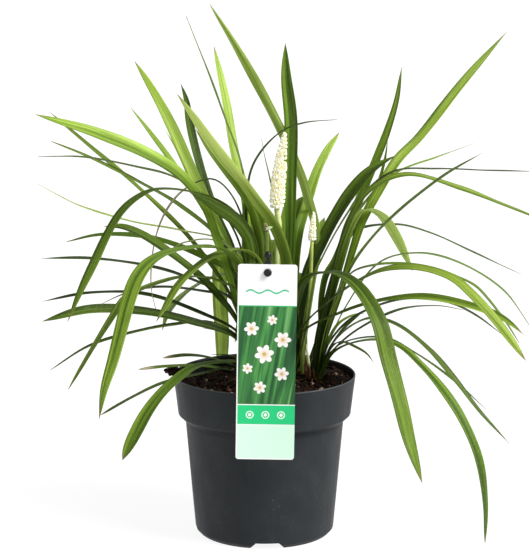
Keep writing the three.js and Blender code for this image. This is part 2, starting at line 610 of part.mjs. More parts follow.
function soilSolid() {
  const side = POT_WALL + GAP + 0.1;
  const edgeHeight = SOIL_HEIGHT - 1;
  const share = (edgeHeight - COLLAR_FOOT_HEIGHT) / (POT_HEIGHT - COLLAR_FOOT_HEIGHT);
  const edgeRadius = THREE.MathUtils.lerp(COLLAR_FOOT_RADIUS, RIM_RADIUS, share);
  const profile = [
    [0, PAD_FLOOR + GAP],
    [PAD_RADIUS - 2.2, PAD_FLOOR + GAP],
    [PAD_RADIUS + 1.8, FLOOR_TOP + GAP],
    [BODY_FOOT_RADIUS - side, FLOOR_TOP + GAP],
    [BODY_TOP_RADIUS - side, BODY_TOP_HEIGHT + 1],
    [COLLAR_FOOT_RADIUS - side, COLLAR_FOOT_HEIGHT + 1.2],
    [edgeRadius - side, edgeHeight],
    ...SOIL_RINGS.map((radius) => [radius, SOIL_HEIGHT]),
  ];
  const points = profile.map(([radius, height]) => new THREE.Vector2(radius, height));
  const geometry = new THREE.LatheGeometry(points, POT_SIDES).rotateX(Math.PI / 2);
  const place = geometry.attributes.position;
  for (let i = 0; i < place.count; i += 1) {
    if (place.getZ(i) > edgeHeight + 0.5) place.setZ(i, soilTop(place.getX(i), place.getY(i)));
  }
  const pits = [pegShaft(2 * GAP)];
  for (const { crown: [x, y] } of Object.values(FANS)) {
    const low = SOIL_HEIGHT - CROWN_DEPTH - GAP;
    pits.push(pin(x, y, CROWN_RADIUS + 2 * GAP, low, SOIL_HEIGHT + 5, CROWN_SIDES));
  }
  for (const { stalk: [[x, y, foot]], stalkRadius: [low] } of Object.values(SPIKES)) {
    pits.push(pin(x, y, low + 4 * GAP, foot - GAP, SOIL_HEIGHT + 5, STALK_SIDES));
  }
  return pits.reduce((soil, pit) => soil.subtract(pit), solidOf(geometry));
}

// ---- Label ----

function cardSolid() {
  const [halfWidth, halfHeight, corner] = [CARD_WIDTH / 2, CARD_HEIGHT / 2, CARD_CORNER];
  const outline = new THREE.Shape();
  outline.moveTo(-halfWidth + corner, -halfHeight);
  outline.lineTo(halfWidth - corner, -halfHeight);
  outline.absarc(halfWidth - corner, -halfHeight + corner, corner, -Math.PI / 2, 0);
  outline.lineTo(halfWidth, halfHeight - corner);
  outline.absarc(halfWidth - corner, halfHeight - corner, corner, 0, Math.PI / 2);
  outline.lineTo(-halfWidth + corner, halfHeight);
  outline.absarc(-halfWidth + corner, halfHeight - corner, corner, Math.PI / 2, Math.PI);
  outline.lineTo(-halfWidth, -halfHeight + corner);
  outline.absarc(-halfWidth + corner, -halfHeight + corner, corner, Math.PI, 1.5 * Math.PI);
  const hole = new THREE.Path();
  hole.absarc(0, halfHeight - CARD_HOLE_BELOW_TOP, CARD_HOLE_RADIUS, 0, 2 * Math.PI);
  outline.holes.push(hole);
  const options = { depth: CARD_THICKNESS, bevelEnabled: false, curveSegments: 6 };
  const card = new THREE.ExtrudeGeometry(outline, options);
  card.rotateX(Math.PI / 2).rotateY(THREE.MathUtils.degToRad(CARD_LEAN));
  return solidOf(card.translate(...CARD_MIDDLE));
}

// The peg's tapering shaft, made fatter by a margin for the hole it stands in.
function pegShaft(margin = 0) {
  const line = new THREE.LineCurve3(pointOf(PEG_FOOT).setZ(PEG_FOOT[2] - margin), pointOf(PEG_TOP));
  return rod(line, (share) => margin + PEG_SHAFT_RADIUS * Math.min(1, 0.15 + 5 * share), 5, STALK_SIDES);
}

// The peg's flat upper part: a plate with rounded shoulders and a narrow neck above them.
function pegPlate(front) {
  const [half, neck] = [PEG_PLATE_HALF_WIDTH, PEG_NECK_HALF_WIDTH];
  const plate = new THREE.Shape();
  plate.moveTo(-half + 1.5, PEG_PLATE_LOW);
  plate.lineTo(half - 1.5, PEG_PLATE_LOW);
  plate.lineTo(half, PEG_PLATE_LOW + 6);
  plate.lineTo(half, PEG_SHOULDER - 1.5);
  plate.lineTo(half - 1, PEG_SHOULDER);
  plate.quadraticCurveTo(neck, PEG_SHOULDER + 0.6, neck, PEG_SHOULDER + 3);
  plate.lineTo(neck, PEG_BALL_HEIGHT);
  plate.lineTo(-neck, PEG_BALL_HEIGHT);
  plate.lineTo(-neck, PEG_SHOULDER + 3);
  plate.quadraticCurveTo(-neck, PEG_SHOULDER + 0.6, -half + 1, PEG_SHOULDER);
  plate.lineTo(-half, PEG_SHOULDER - 1.5);
  plate.lineTo(-half, PEG_PLATE_LOW + 6);
  const options = { depth: PEG_PLATE_THICKNESS, bevelEnabled: false, curveSegments: 3 };
  const body = new THREE.ExtrudeGeometry(plate, options).rotateX(Math.PI / 2);
  return solidOf(body.translate(PEG_TOP[0], front + PEG_PLATE_THICKNESS, 0));
}

// The knob that the card hangs on, close under the upper edge of the card's hole.
function pegKnob(front) {
  const profile = [
    [0, 0],
    [KNOB_NECK_RADIUS, 0],
    [KNOB_NECK_RADIUS, 2.6],
    [KNOB_HEAD_RADIUS, 3],
    [KNOB_HEAD_RADIUS, 4],
    [KNOB_HEAD_RADIUS * 0.7, KNOB_REACH - 0.3],
    [0, KNOB_REACH],
  ].map(([radius, out]) => new THREE.Vector2(radius, out));
  const lean = THREE.MathUtils.degToRad(CARD_LEAN);
  const above = CARD_HEIGHT / 2 - CARD_HOLE_BELOW_TOP;
  const knob = new THREE.LatheGeometry(profile, 14).rotateX(Math.PI);
  const [x, , z] = CARD_MIDDLE;
  knob.translate(x + above * Math.sin(lean), front + 1, z + above * Math.cos(lean) + KNOB_RISE);
  return solidOf(knob);
}

function pegSolid() {
  const front = CARD_MIDDLE[1] + GAP;
  const ball = new THREE.SphereGeometry(PEG_BALL_RADIUS, 10, 7).scale(1, 0.85, 1.1);
  ball.translate(PEG_TOP[0], front + PEG_PLATE_THICKNESS / 2, PEG_BALL_HEIGHT);
  return joined([pegShaft(), pegPlate(front), pegKnob(front), solidOf(ball)]);
}

// ---- The whole plant ----

const plant = new THREE.Group();
plant.add(meshOf("pot", potSolid(), MATERIALS.pot));
plant.add(meshOf("soil", soilSolid(), MATERIALS.soil));
for (const [name, rows] of Object.entries(FANS)) {
  plant.add(fan(name, rows));
}
for (const [name, spike] of Object.entries(SPIKES)) {
  plant.add(meshOf(name + "_stalk", stalkSolid(spike), MATERIALS.stalk));
  plant.add(meshOf(name + "_flowers", headSolid(spike), MATERIALS.flowers));
}
plant.add(meshOf("label_card", cardSolid(), MATERIALS.card));
plant.add(meshOf("label_peg", pegSolid(), MATERIALS.peg));

export default plant;
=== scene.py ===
"""The looks of a potted white-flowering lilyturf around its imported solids.

Lengths are millimetres in the plans below and metres in Blender. Azimuths are degrees from +X towards +Y.
"""
import math
import random

import bmesh
import bpy
import numpy as np
from mathutils import Matrix, Vector, noise


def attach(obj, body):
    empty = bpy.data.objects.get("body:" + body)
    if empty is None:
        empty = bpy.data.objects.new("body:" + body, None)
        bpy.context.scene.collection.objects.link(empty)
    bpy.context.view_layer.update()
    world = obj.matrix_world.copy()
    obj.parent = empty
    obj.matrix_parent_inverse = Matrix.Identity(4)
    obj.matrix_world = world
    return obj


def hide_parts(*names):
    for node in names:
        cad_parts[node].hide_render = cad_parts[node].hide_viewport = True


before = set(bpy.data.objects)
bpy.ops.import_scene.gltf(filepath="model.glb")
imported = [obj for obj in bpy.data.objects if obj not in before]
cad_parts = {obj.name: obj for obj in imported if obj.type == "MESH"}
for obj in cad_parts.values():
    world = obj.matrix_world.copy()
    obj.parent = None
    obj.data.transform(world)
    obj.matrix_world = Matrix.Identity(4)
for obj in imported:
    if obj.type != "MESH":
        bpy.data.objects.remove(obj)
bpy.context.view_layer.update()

MM = 0.001
BODY = "root"

# ---- The plant's plan, as in the part's source ----

SOIL_HEIGHT = 138
ROOT_REACH = 3
ROOT_DEPTH = 7
BASE_SHARE = 0.46
WIDEST_AT = 0.58
BLADE_FOLD = 0.22

# Fans of leaves, each with its crown's place. Each leaf is one row: azimuth, greatest width, twist, how
# blunt its tip is, how light it is from 0 to about 1, and the places it passes as [reach from the crown,
# height]. A twist or lightness that changes along the leaf is a pair, (at the root, at the tip).
FANS = {
    "fan_left": ((-14, 10), [
        [160, 7.8, -10, 5, (0.56, 0.42), [7, 184], [19, 220], [60, 273], [121, 326], [164, 358],
         [204, 388]],
        [140, 12, (-25, -20), 5, (0.8, 0.72), [18, 244], [55, 306], [73, 335], [90, 363], [108, 390],
         [130, 418], [146, 436]],
        [155, 8.5, -12, 6, 0.67, [18, 250], [46, 300], [82, 345], [107, 374], [125, 394]],
        [125, 10, 0, 6, 0.18, [24, 250], [61, 298], [77, 323], [87, 342], [96, 361], [103, 380],
         [108, 399], [118, 415]],
        [165, 8.5, -8, 5, 0.34, [6, 227], [24, 269], [67, 304], [109, 326], [158, 348], [196, 362]],
        [191, 8.8, 0, 7, 0.17, [3, 246], [23, 298], [67, 333], [103, 344], [153, 354], [193, 355]],
        [188, 6.5, 0, 6, 0.9, [4, 241], [23, 273], [65, 285], [110, 294], [156, 309], [193, 329]],
        [174, 9.4, -20, 5.5, (0.55, 0.26), [1, 203], [12, 239], [46, 259], [93, 275], [141, 277],
         [173, 270]],
        [196, 9.4, -8, 7, (0.15, 0), [2, 184], [12, 214], [63, 243], [105, 256], [149, 263], [194, 265]],
        [170, 8, -12, 6, (0.18, 0), [2, 170], [12, 187], [47, 204], [99, 220], [152, 220], [202, 210]],
        [140, 13, 0, 5, 0.5, [4, 217], [27, 239], [49, 233], [69, 223], [87, 211], [104, 194], [113, 174]],
        [196, 7, -8, 6, (0.4, 0.16), [4, 175], [35, 198], [75, 198], [116, 192], [153, 182], [188, 162]],
        [182, 5, 0, 3.2, 0.3, [3, 168], [19, 185], [31, 189], [43, 191]],
        [184, 8.8, 0, 6, 0, [-2, 202], [13, 219], [46, 227], [79, 231], [103, 229], [122, 223],
         [139, 215]],
        [178, 6, 0, 4, (0.8, 0.95), [3, 227], [20, 268], [32, 274], [43, 275], [55, 273], [65, 270],
         [74, 264], [88, 254]],
    ]),
    "fan_front_left": ((-6, -14), [
        [200, 12, (-50, -65), 4.6, 0.64, [22, 223], [39, 278], [52, 312], [74, 340], [105, 360],
         [150, 379], [203, 396]],
        [225, 11, 5, 5, (0.48, 0.5), [-8, 221], [-5, 257], [-1, 282], [9, 306], [23, 325], [41, 344],
         [60, 363], [76, 382]],
        [231, 10, 0, 3.2, (0.35, 0.55), [-13, 220], [-15, 255], [-13, 276], [-7, 291], [0, 304], [10, 318],
         [18, 329]],
        [186, 7, 0, 5, 0.15, [2, 241], [23, 318], [41, 334], [62, 328], [79, 312], [93, 283], [98, 237],
         [93, 211]],
        [217, 9.6, (60, -40), 5.5, (0.18, 0.34), [10, 282], [28, 304], [53, 320], [78, 328], [111, 331],
         [132, 324], [147, 313], [160, 296], [173, 274], [188, 249], [201, 224]],
        [226, 12.5, (80, 55), 3.2, 0.25, [9, 274], [19, 290], [32, 301], [47, 309], [61, 317], [74, 323],
         [88, 330]],
        [205, 11, (-42, -48), 5, (0.06, 0.22), [20, 201], [41, 230], [58, 248], [81, 267], [96, 278],
         [113, 289], [131, 297], [148, 298]],
        [238, 14, (-8, 0), 5.5, (0.52, 0.58), [22, 244], [56, 275], [86, 282], [117, 284], [149, 283],
         [172, 277], [187, 266], [197, 251], [208, 228], [219, 205], [232, 182], [239, 160]],
        [222, 9.4, 0, 5, (0.42, 0.34), [16, 224], [52, 247], [86, 253], [114, 251], [136, 247], [153, 241],
         [165, 228], [185, 205], [199, 188], [213, 171]],
        [200, 11, (-25, -45), 4.4, (0.2, 0.25), [8, 166], [20, 187], [67, 207], [114, 219], [160, 223],
         [201, 215]],
        [230, 11.4, 0, 5, (0.8, 0.5), [-9, 211], [1, 258], [22, 271], [47, 272], [68, 268], [88, 260],
         [107, 249], [126, 230], [135, 221]],
        [200, 6.8, -10, 14, 0, [8, 152], [40, 169], [68, 175], [92, 174]],
        [208, 6, -10, 12, 0.4, [8, 149], [52, 165], [90, 169], [120, 169]],
        [216, 7, 0, 8, (0.3, 0.1), [25, 161], [61, 161], [103, 158], [134, 150], [168, 138]],
        [230, 14.2, 0, 11, (0.28, 0.44), [11, 162], [50, 172], [89, 173], [111, 166], [131, 156],
         [147, 144], [160, 130], [170, 118], [178, 108]],
        [350, 8.4, 0, 5, 0, [-6, 231], [-10, 320], [-3, 349], [20, 376], [43, 385], [72, 388]],
        [262, 7, 0, 3, 0.5, [6, 164], [16, 184], [32, 190]],
        [186, 6, 0, 3, 0.38, [8, 156], [24, 170], [44, 172]],
    ]),
    "fan_front_right": ((18, -12), [
        [222, 12.5, (26, 20), 4.5, (0.58, 1.02), [-5, 244], [2, 271], [14, 293], [31, 312], [50, 333],
         [72, 355], [89, 373], [104, 391], [124, 414]],
        [345, 7, 0, 3.2, (0.35, 0.22), [21, 196], [26, 231], [30, 250], [36, 263], [42, 275], [48, 286],
         [54, 296], [61, 307], [67, 317], [88, 337]],
        [330, 9.8, (4, 36), 8, (0.36, 0.72), [16, 193], [56, 232], [80, 248], [102, 258], [127, 262],
         [151, 260], [170, 254], [184, 244], [202, 228], [219, 210], [236, 190]],
        [335, 10, (5, 30), 6, (0.26, 0.55), [15, 189], [54, 213], [94, 228], [127, 234], [151, 234],
         [178, 230], [201, 224], [215, 217], [227, 208]],
        [302, 16.6, 0, 6, (0.24, 0.4), [14, 205], [35, 245], [81, 258], [117, 250], [147, 226], [162, 195],
         [178, 163], [192, 132], [211, 100]],
        [280, 7, 0, 3, 0.5, [8, 160], [22, 176], [40, 176]],
    ]),
    "fan_right": ((46, 12), [
        [38, 10.4, (22, 28), 3.4, (0.74, 0.64), [8, 162], [35, 226], [48, 260], [60, 287], [80, 314],
         [103, 342], [132, 363], [190, 415], [251, 464]],
        [29, 14.6, (50, -42), 4, (0.4, 1.05), [5, 174], [20, 225], [35, 267], [43, 286], [55, 299],
         [74, 292], [91, 271], [111, 236]],
        [12, 8.6, (8, 32), 5, 0.44, [9, 188], [15, 221], [26, 270], [49, 315], [86, 333], [142, 319],
         [186, 302], [227, 286]],
        [345, 10.4, -10, 5, (0.44, 0.15), [11, 184], [33, 245], [54, 277], [80, 304], [119, 336],
         [154, 358]],
        [352, 7, 0, 5, (0.64, 0.4), [12, 170], [30, 212], [62, 255], [97, 264], [136, 255], [176, 230],
         [203, 194]],
        [345, 8.8, 0, 8, (0.6, 0.42), [12, 175], [21, 222], [36, 245], [58, 253], [81, 255], [114, 252],
         [137, 244], [151, 237], [164, 224], [180, 204], [192, 186]],
        [3, 8, 5, 6, (0.12, 0), [11, 169], [34, 198], [81, 217], [126, 214], [152, 202], [181, 181]],
        [18, 6, 0, 3.2, 0.15, [13, 159], [37, 182], [86, 203], [126, 205], [154, 199]],
        [338, 12.2, 0, 3.4, (0.34, 0.2), [20, 179], [48, 202], [65, 204], [85, 198], [113, 178],
         [137, 153], [161, 125], [189, 98]],
        [322, 13, 0, 5.5, (0.62, 0.28), [24, 171], [67, 188], [97, 185], [118, 172], [140, 154],
         [162, 129], [180, 96], [188, 56], [189, 20]],
        [345, 6, 0, 5, 0.3, [13, 164], [30, 179], [68, 185], [97, 172], [133, 148], [163, 123]],
        [330, 5, 0, 3.2, 0.15, [12, 161], [26, 180], [47, 176], [57, 171], [63, 164]],
        [8, 6, 10, 5, 0.3, [14, 167], [26, 186], [37, 197], [48, 206]],
        [25, 6, 0, 5, 0.75, [13, 170], [26, 192], [44, 200], [54, 200]],
    ]),
    "fan_back_right": ((34, 42), [
        [213, 10.5, (30, 25), 4.2, (0.86, 0.68), [-7, 187], [-18, 268], [-16, 286], [-9, 307], [-2, 327],
         [14, 359], [42, 407], [73, 454], [99, 490]],
        [67, 11, 0, 4.6, (0.4, 0.84), [-13, 214], [-12, 258], [-4, 280], [13, 299], [27, 315], [43, 331],
         [70, 349], [104, 365]],
        [45, 9.8, 10, 3.8, (0.46, 0.5), [28, 179], [29, 203], [32, 220], [37, 233], [49, 245], [64, 268],
         [86, 305], [108, 339], [125, 368], [138, 397], [145, 429]],
        [40, 6, 0, 3.2, 0.5, [28, 184], [44, 222], [59, 260], [83, 288], [100, 314], [108, 332],
         [112, 347], [114, 361]],
        [14, 16, (35, 25), 4.6, (0.22, 0.3), [-1, 183], [7, 235], [20, 264], [34, 290], [50, 314],
         [70, 335], [94, 348]],
        [12, 7, 0, 5, (0.14, 0), [21, 192], [33, 240], [48, 292], [88, 332], [134, 335], [192, 332],
         [244, 330]],
        [25, 6, 0, 3.2, 0.74, [23, 181], [35, 229], [53, 281], [99, 327], [149, 343], [191, 355]],
        [14, 8, 5, 5, (0.4, 0.2), [22, 182], [34, 225], [49, 273], [93, 282], [132, 272], [177, 251],
         [226, 228]],
        [50, 14.5, 0, 8, 1.1, [6, 185], [16, 230], [25, 260], [31, 277], [37, 288]],
        [86, 9, 0, 3, 0.3, [9, 180], [30, 214], [62, 228], [98, 206], [128, 158]],
        [112, 9, 0, 3, 0.5, [10, 170], [30, 196], [58, 204], [90, 186], [116, 146]],
        [104, 9, 0, 3, 0.5, [10, 175], [34, 202], [70, 206], [104, 178], [126, 132]],
        [120, 8, 0, 3, 0.38, [8, 160], [28, 178], [58, 180], [92, 156], [110, 126]],
        [95, 8, 0, 3, 0.72, [6, 158], [24, 172], [56, 170], [84, 150]],
    ]),
    "fan_back_left": ((0, 38), [
        [145, 6, 0, 5, 1.05, [46, 257], [79, 308], [93, 332], [104, 350], [119, 370]],
        [115, 8.8, -10, 5.5, (0.75, 0.92), [33, 247], [47, 313], [68, 346], [90, 398], [119, 450]],
        [112, 16, 0, 5, 0.55, [51, 242], [98, 248], [118, 233], [121, 198], [115, 157], [117, 97]],
        [84, 10, 0, 3, 0.35, [10, 190], [36, 246], [78, 260], [122, 218], [150, 154]],
        [98, 9, 0, 3, 0.3, [8, 185], [30, 222], [66, 232], [108, 204], [140, 150]],
        [70, 9, 0, 3, 0.5, [9, 180], [32, 214], [70, 218], [108, 186], [130, 140]],
        [105, 8, 0, 3, 0.5, [12, 165], [40, 186], [84, 182], [118, 148]],
        [78, 8, 0, 3, 0.3, [7, 160], [24, 184], [56, 190], [96, 170], [124, 134]],
        [90, 10, 10, 3, 0.72, [5, 200], [14, 240], [34, 262], [70, 262], [112, 226], [140, 172]],
    ]),
    "fan_middle": ((16, 18), [
        [172, 6.5, 0, 5, (0.45, 0.3), [24, 263], [39, 347], [56, 394], [72, 437], [89, 479]],
        [40, 12.6, 50, 5.5, (0.46, 0.38), [3, 197], [8, 260], [10, 326], [11, 383], [5, 426], [4, 455]],
        [170, 6, 0, 3.2, 0.36, [1, 226], [3, 282], [11, 329], [16, 351], [19, 367]],
        [150, 9, -30, 3.2, 0.3, [21, 185], [37, 249], [40, 285], [41, 312]],
        [200, 9, 30, 3.2, 0.3, [12, 188], [25, 251], [27, 270], [26, 286]],
        [60, 8, 30, 3.2, 0.68, [-1, 188], [-1, 252], [1, 287], [4, 307]],
        [71.5, 11, 0, 7, (0.75, 0.4), [18, 205], [33, 262], [45, 292], [57, 303], [72, 307]],
        [300, 6, 0, 3, 0.5, [3, 180], [8, 220], [14, 246]],
        [92, 8, 0, 3, 0.5, [7, 190], [20, 234], [44, 256], [80, 252]],
    ]),
}
# The share of its length from which a leaf is withered, by the leaf's number from 1.
WITHERED = {13: 0.8, 19: 0.64, 27: 0.93, 28: 0.9}

# ---- Meshes ----


def linked(name, data):
    """A new object in the scene."""
    thing = bpy.data.objects.new(name, data)
    bpy.context.scene.collection.objects.link(thing)
    return thing


def piece(name, vertices, faces, material, replaces=(), values=None):
    """A mesh object, from millimetres, that rides on the part. values are numbers for each vertex."""
    mesh = bpy.data.meshes.new(name)
    points = np.asarray(vertices, float) * MM
    mesh.from_pydata(points.tolist(), [], faces)
    for key, numbers in (values or {}).items():
        layer = mesh.attributes.new(key, "FLOAT", "POINT")
        layer.data.foreach_set("value", np.asarray(numbers, np.float32))
    if material:
        mesh.materials.append(material)
    mesh.shade_smooth()
    mesh.update()
    thing = linked(name, mesh)
    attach(thing, BODY)
    if replaces:
        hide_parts(*replaces)
    return thing


class Build:
    """Vertices, faces and named vertex values, gathered from many small closed shapes into one mesh."""

    def __init__(self):
        self.vertices = []
        self.faces = []
        self.values = {}
        self.count = 0

    def add(self, vertices, faces, **values):
        self.vertices.append(np.asarray(vertices, float))
        self.faces.extend([tuple(int(i) + self.count for i in face) for face in faces])
        for key, value in values.items():
            each = np.broadcast_to(np.asarray(value, float), len(vertices))
            self.values.setdefault(key, []).append(each)
        self.count += len(vertices)

    def piece(self, name, material, slot, replaces=()):
        values = {key: np.concatenate(parts) for key, parts in self.values.items()}
        return piece(name, np.concatenate(self.vertices), self.faces, material, replaces, values)


def spline(places, step):
    """Points about step apart on a centripetal Catmull-Rom curve through places, and its length."""
    p = np.asarray(places, float)
    p = np.vstack([2 * p[0] - p[1], p, 2 * p[-1] - p[-2]])
    fine = []
    for a, b, c, d in zip(p, p[1:], p[2:], p[3:]):
        d0, d1, d2 = (math.sqrt(np.linalg.norm(q - r)) for q, r in ((a, b), (b, c), (c, d)))
        m1 = ((b - a) / d0 - (c - a) / (d0 + d1) + (c - b) / d1) * d1
        m2 = ((c - b) / d1 - (d - b) / (d1 + d2) + (d - c) / d2) * d1
        t = np.linspace(0, 1, 40, endpoint=False)[:, None]
        fine.append(b + m1 * t + (3 * (c - b) - 2 * m1 - m2) * t**2 + (2 * (b - c) + m1 + m2) * t**3)
    fine = np.vstack([*fine, p[-2:-1]])
    run = np.concatenate([[0], np.cumsum(np.linalg.norm(np.diff(fine, axis=0), axis=1))])
    even = np.linspace(0, run[-1], max(3, round(run[-1] / step) + 1))
    return np.column_stack([np.interp(even, run, fine[:, k]) for k in range(fine.shape[1])]), run[-1]


def directions(line):
    """Unit tangents along a line of points."""
    tangents = np.gradient(line, axis=0)
    return tangents / np.linalg.norm(tangents, axis=1, keepdims=True)


def tube_faces(rings, sides):
    """Quads between rings of points, with the first and last rings closed by one face each."""
    faces = [tuple(range(sides))[::-1], tuple(range((rings - 1) * sides, rings * sides))]
    for ring in range(rings - 1):
        for k in range(sides):
            a, b = ring * sides + k, ring * sides + (k + 1) % sides
            faces.append((a, b, b + sides, a + sides))
    return faces


def tube(line, radii, sides, ridge=0.0, ridges=0):
    """A rod along a line of points, with its radius at each, and low ridges along it."""
    line = np.asarray(line, float)
    radii = np.broadcast_to(np.asarray(radii, float), len(line))
    tangents = directions(line)
    side = np.cross(tangents, [0.31, 0.95, 0.05])
    side /= np.linalg.norm(side, axis=1, keepdims=True)
    other = np.cross(tangents, side)
    angles = np.linspace(0, 2 * math.pi, sides, endpoint=False)
    ripple = 1 + ridge * np.cos(ridges * angles)
    rings = [
        c + r * (np.outer(ripple * np.cos(angles), s) + np.outer(ripple * np.sin(angles), o))
        for c, r, s, o in zip(line, radii, side, other)
    ]
    return np.vstack(rings), tube_faces(len(line), sides)


def turned(profile, sides, height_at=None):
    """A closed skin of revolution about +Z, from [radius, height] pairs that start and end on the axis."""
    profile = np.asarray(profile, float)
    middle = profile[1:-1]
    angles = np.linspace(0, 2 * math.pi, sides, endpoint=False)
    circle = np.column_stack([np.cos(angles), np.sin(angles), np.zeros(sides)])
    rings = [radius * circle + [0, 0, height] for radius, height in middle]
    vertices = np.vstack([*rings, [0, 0, profile[0, 1]], [0, 0, profile[-1, 1]]])
    if height_at is not None:
        vertices[:, 2] = height_at(vertices)
    first, last = len(vertices) - 2, len(vertices) - 1
    faces = []
    for k in range(sides):
        n = (k + 1) % sides
        faces.append((first, n, k))
        end = (len(middle) - 1) * sides
        faces.append((end + k, end + n, last))
        for ring in range(len(middle) - 1):
            a = ring * sides
            faces.append((a + k, a + n, a + n + sides, a + k + sides))
    return vertices, faces


def arc(centre, radius, start, end, steps=5):
    """Points on an arc in a profile, in degrees from the radius direction towards up."""
    angles = np.radians(np.linspace(start, end, steps))
    return [[centre[0] + radius * math.cos(a), centre[1] + radius * math.sin(a)] for a in angles]


def polar(radius, angle):
    """The x and y of a place on a circle."""
    return radius * math.cos(angle), radius * math.sin(angle)


def smooth_step(x, low, high):
    """From 0 at low to 1 at high, with level ends."""
    t = np.clip((x - low) / (high - low), 0, 1)
    return t * t * (3 - 2 * t)


def arrays(made):
    """The vertices and faces of a bmesh, which is then freed."""
    made.verts.index_update()
    vertices = np.array([v.co[:] for v in made.verts])
    faces = [tuple(v.index for v in f.verts) for f in made.faces]
    made.free()
    return vertices, faces


def ball(detail):
    """The vertices and faces of a round ball of radius 1."""
    made = bmesh.new()
    bmesh.ops.create_icosphere(made, subdivisions=detail, radius=1)
    return arrays(made)


def pointing(direction, roll=0.0):
    """A 3 x 3 rotation that takes +Z to a direction, after a roll about it."""
    turn = Vector(direction).to_track_quat("Z", "Y").to_matrix() @ Matrix.Rotation(roll, 3, "Z")
    return np.array(turn)


def split_creases(thing, degrees):
    """Sharp shading on edges that turn by more than some degrees."""
    made = bmesh.new()
    made.from_mesh(thing.data)
    for edge in made.edges:
        edge.smooth = len(edge.link_faces) == 2 and edge.calc_face_angle(0) < math.radians(degrees)
    made.to_mesh(thing.data)
    made.free()


# ---- Materials ----


class Field:
    """A number that varies over a surface. Sums of fields make the nodes that work them out."""

    def __init__(self, nodes, socket):
        self.nodes = nodes
        self.socket = socket

    def __add__(self, other):
        return self.nodes.math("ADD", self, other)

    def __sub__(self, other):
        return self.nodes.math("SUBTRACT", self, other)

    def __mul__(self, other):
        return self.nodes.math("MULTIPLY", self, other)

    def __truediv__(self, other):
        return self.nodes.math("DIVIDE", self, other)

    def __abs__(self):
        return self.nodes.math("ABSOLUTE", self)


class Nodes:
    """A node tree, with short calls that add nodes to it."""

    def __init__(self, tree):
        self.tree = tree

    def node(self, kind, inputs=(), **settings):
        made = self.tree.nodes.new("ShaderNode" + kind)
        for key, value in settings.items():
            setattr(made, key, value)
        for key, value in dict(inputs).items():
            self.put(made.inputs[key], value)
        return made

    def put(self, socket, value):
        if isinstance(value, Field):
            value = value.socket
        if isinstance(value, bpy.types.NodeSocket):
            self.tree.links.new(value, socket)
        elif isinstance(value, (tuple, list)) and socket.type == "RGBA":
            socket.default_value = (*value[:3], 1)
        else:
            socket.default_value = value

    def math(self, operation, a, b=0.0):
        return Field(self, self.node("Math", {0: a, 1: b}, operation=operation).outputs["Value"])

    def between(self, value, low, high, new_low=0.0, new_high=1.0):
        """A smooth step of a value from low to high."""
        inputs = {"Value": value, "From Min": low, "From Max": high, "To Min": new_low, "To Max": new_high}
        made = self.node("MapRange", inputs, interpolation_type="SMOOTHSTEP")
        return Field(self, made.outputs["Result"])

    def axes(self, vector):
        """The X, Y and Z of a vector."""
        return [Field(self, output) for output in self.node("SeparateXYZ", {"Vector": vector}).outputs]


class Shader(Nodes):
    """A material with a Principled shader, and short calls for the nodes that feed it."""

    def __init__(self, name, **constants):
        self.material = bpy.data.materials.new(name)
        self.material.use_nodes = True
        super().__init__(self.material.node_tree)
        self.surface = self.tree.nodes["Principled BSDF"]
        self.feed(**constants)

    def feed(self, **inputs):
        for key, value in inputs.items():
            self.put(self.surface.inputs[key.replace("_", " ")], value)

    def values(self, *names):
        """Numbers that the mesh holds for each vertex, by name."""
        return [Field(self, self.node("Attribute", attribute_name=name).outputs["Fac"]) for name in names]

    def place(self, scale=(1, 1, 1)):
        coordinates = self.node("TexCoord").outputs["Object"]
        return self.node("Mapping", {"Vector": coordinates, "Scale": scale}).outputs["Vector"]

    def along(self, x, y, z=0.0):
        return self.node("CombineXYZ", {"X": x, "Y": y, "Z": z}).outputs["Vector"]

    def noise(self, vector, scale, detail=4.0, roughness=0.55, distortion=0.0):
        inputs = {"Vector": vector, "Scale": scale, "Detail": detail, "Roughness": roughness}
        return Field(self, self.node("TexNoise", {**inputs, "Distortion": distortion}).outputs["Fac"])

    def cells(self, vector, scale):
        return Field(self, self.node("TexVoronoi", {"Vector": vector, "Scale": scale}).outputs["Distance"])

    def mix(self, share, a, b, blend="MIX"):
        made = self.node("Mix", data_type="RGBA", blend_type=blend)
        for socket, value in zip((made.inputs[0], made.inputs[6], made.inputs[7]), (share, a, b)):
            self.put(socket, value)
        return made.outputs[2]

    def ramp(self, value, *stops):
        made = self.node("ValToRGB", {"Fac": value})
        elements = made.color_ramp.elements
        while len(elements) < len(stops):
            elements.new(0.5)
        for element, (position, colour) in zip(elements, stops):
            element.position = position
            element.color = (*colour, 1)
        return made.outputs["Color"]

    def translucent(self, share, colour):
        """Lets a share of the light through the surface, tinted by a colour."""
        through = self.node("BsdfTranslucent", {"Color": colour})
        both = self.node("MixShader", {0: share, 1: self.surface.outputs[0], 2: through.outputs[0]})
        self.put(self.tree.nodes["Material Output"].inputs["Surface"], both.outputs[0])

    def bump(self, height, distance, strength=1.0):
        made = self.node("Bump", {"Height": height, "Distance": distance, "Strength": strength})
        self.feed(Normal=made.outputs["Normal"])


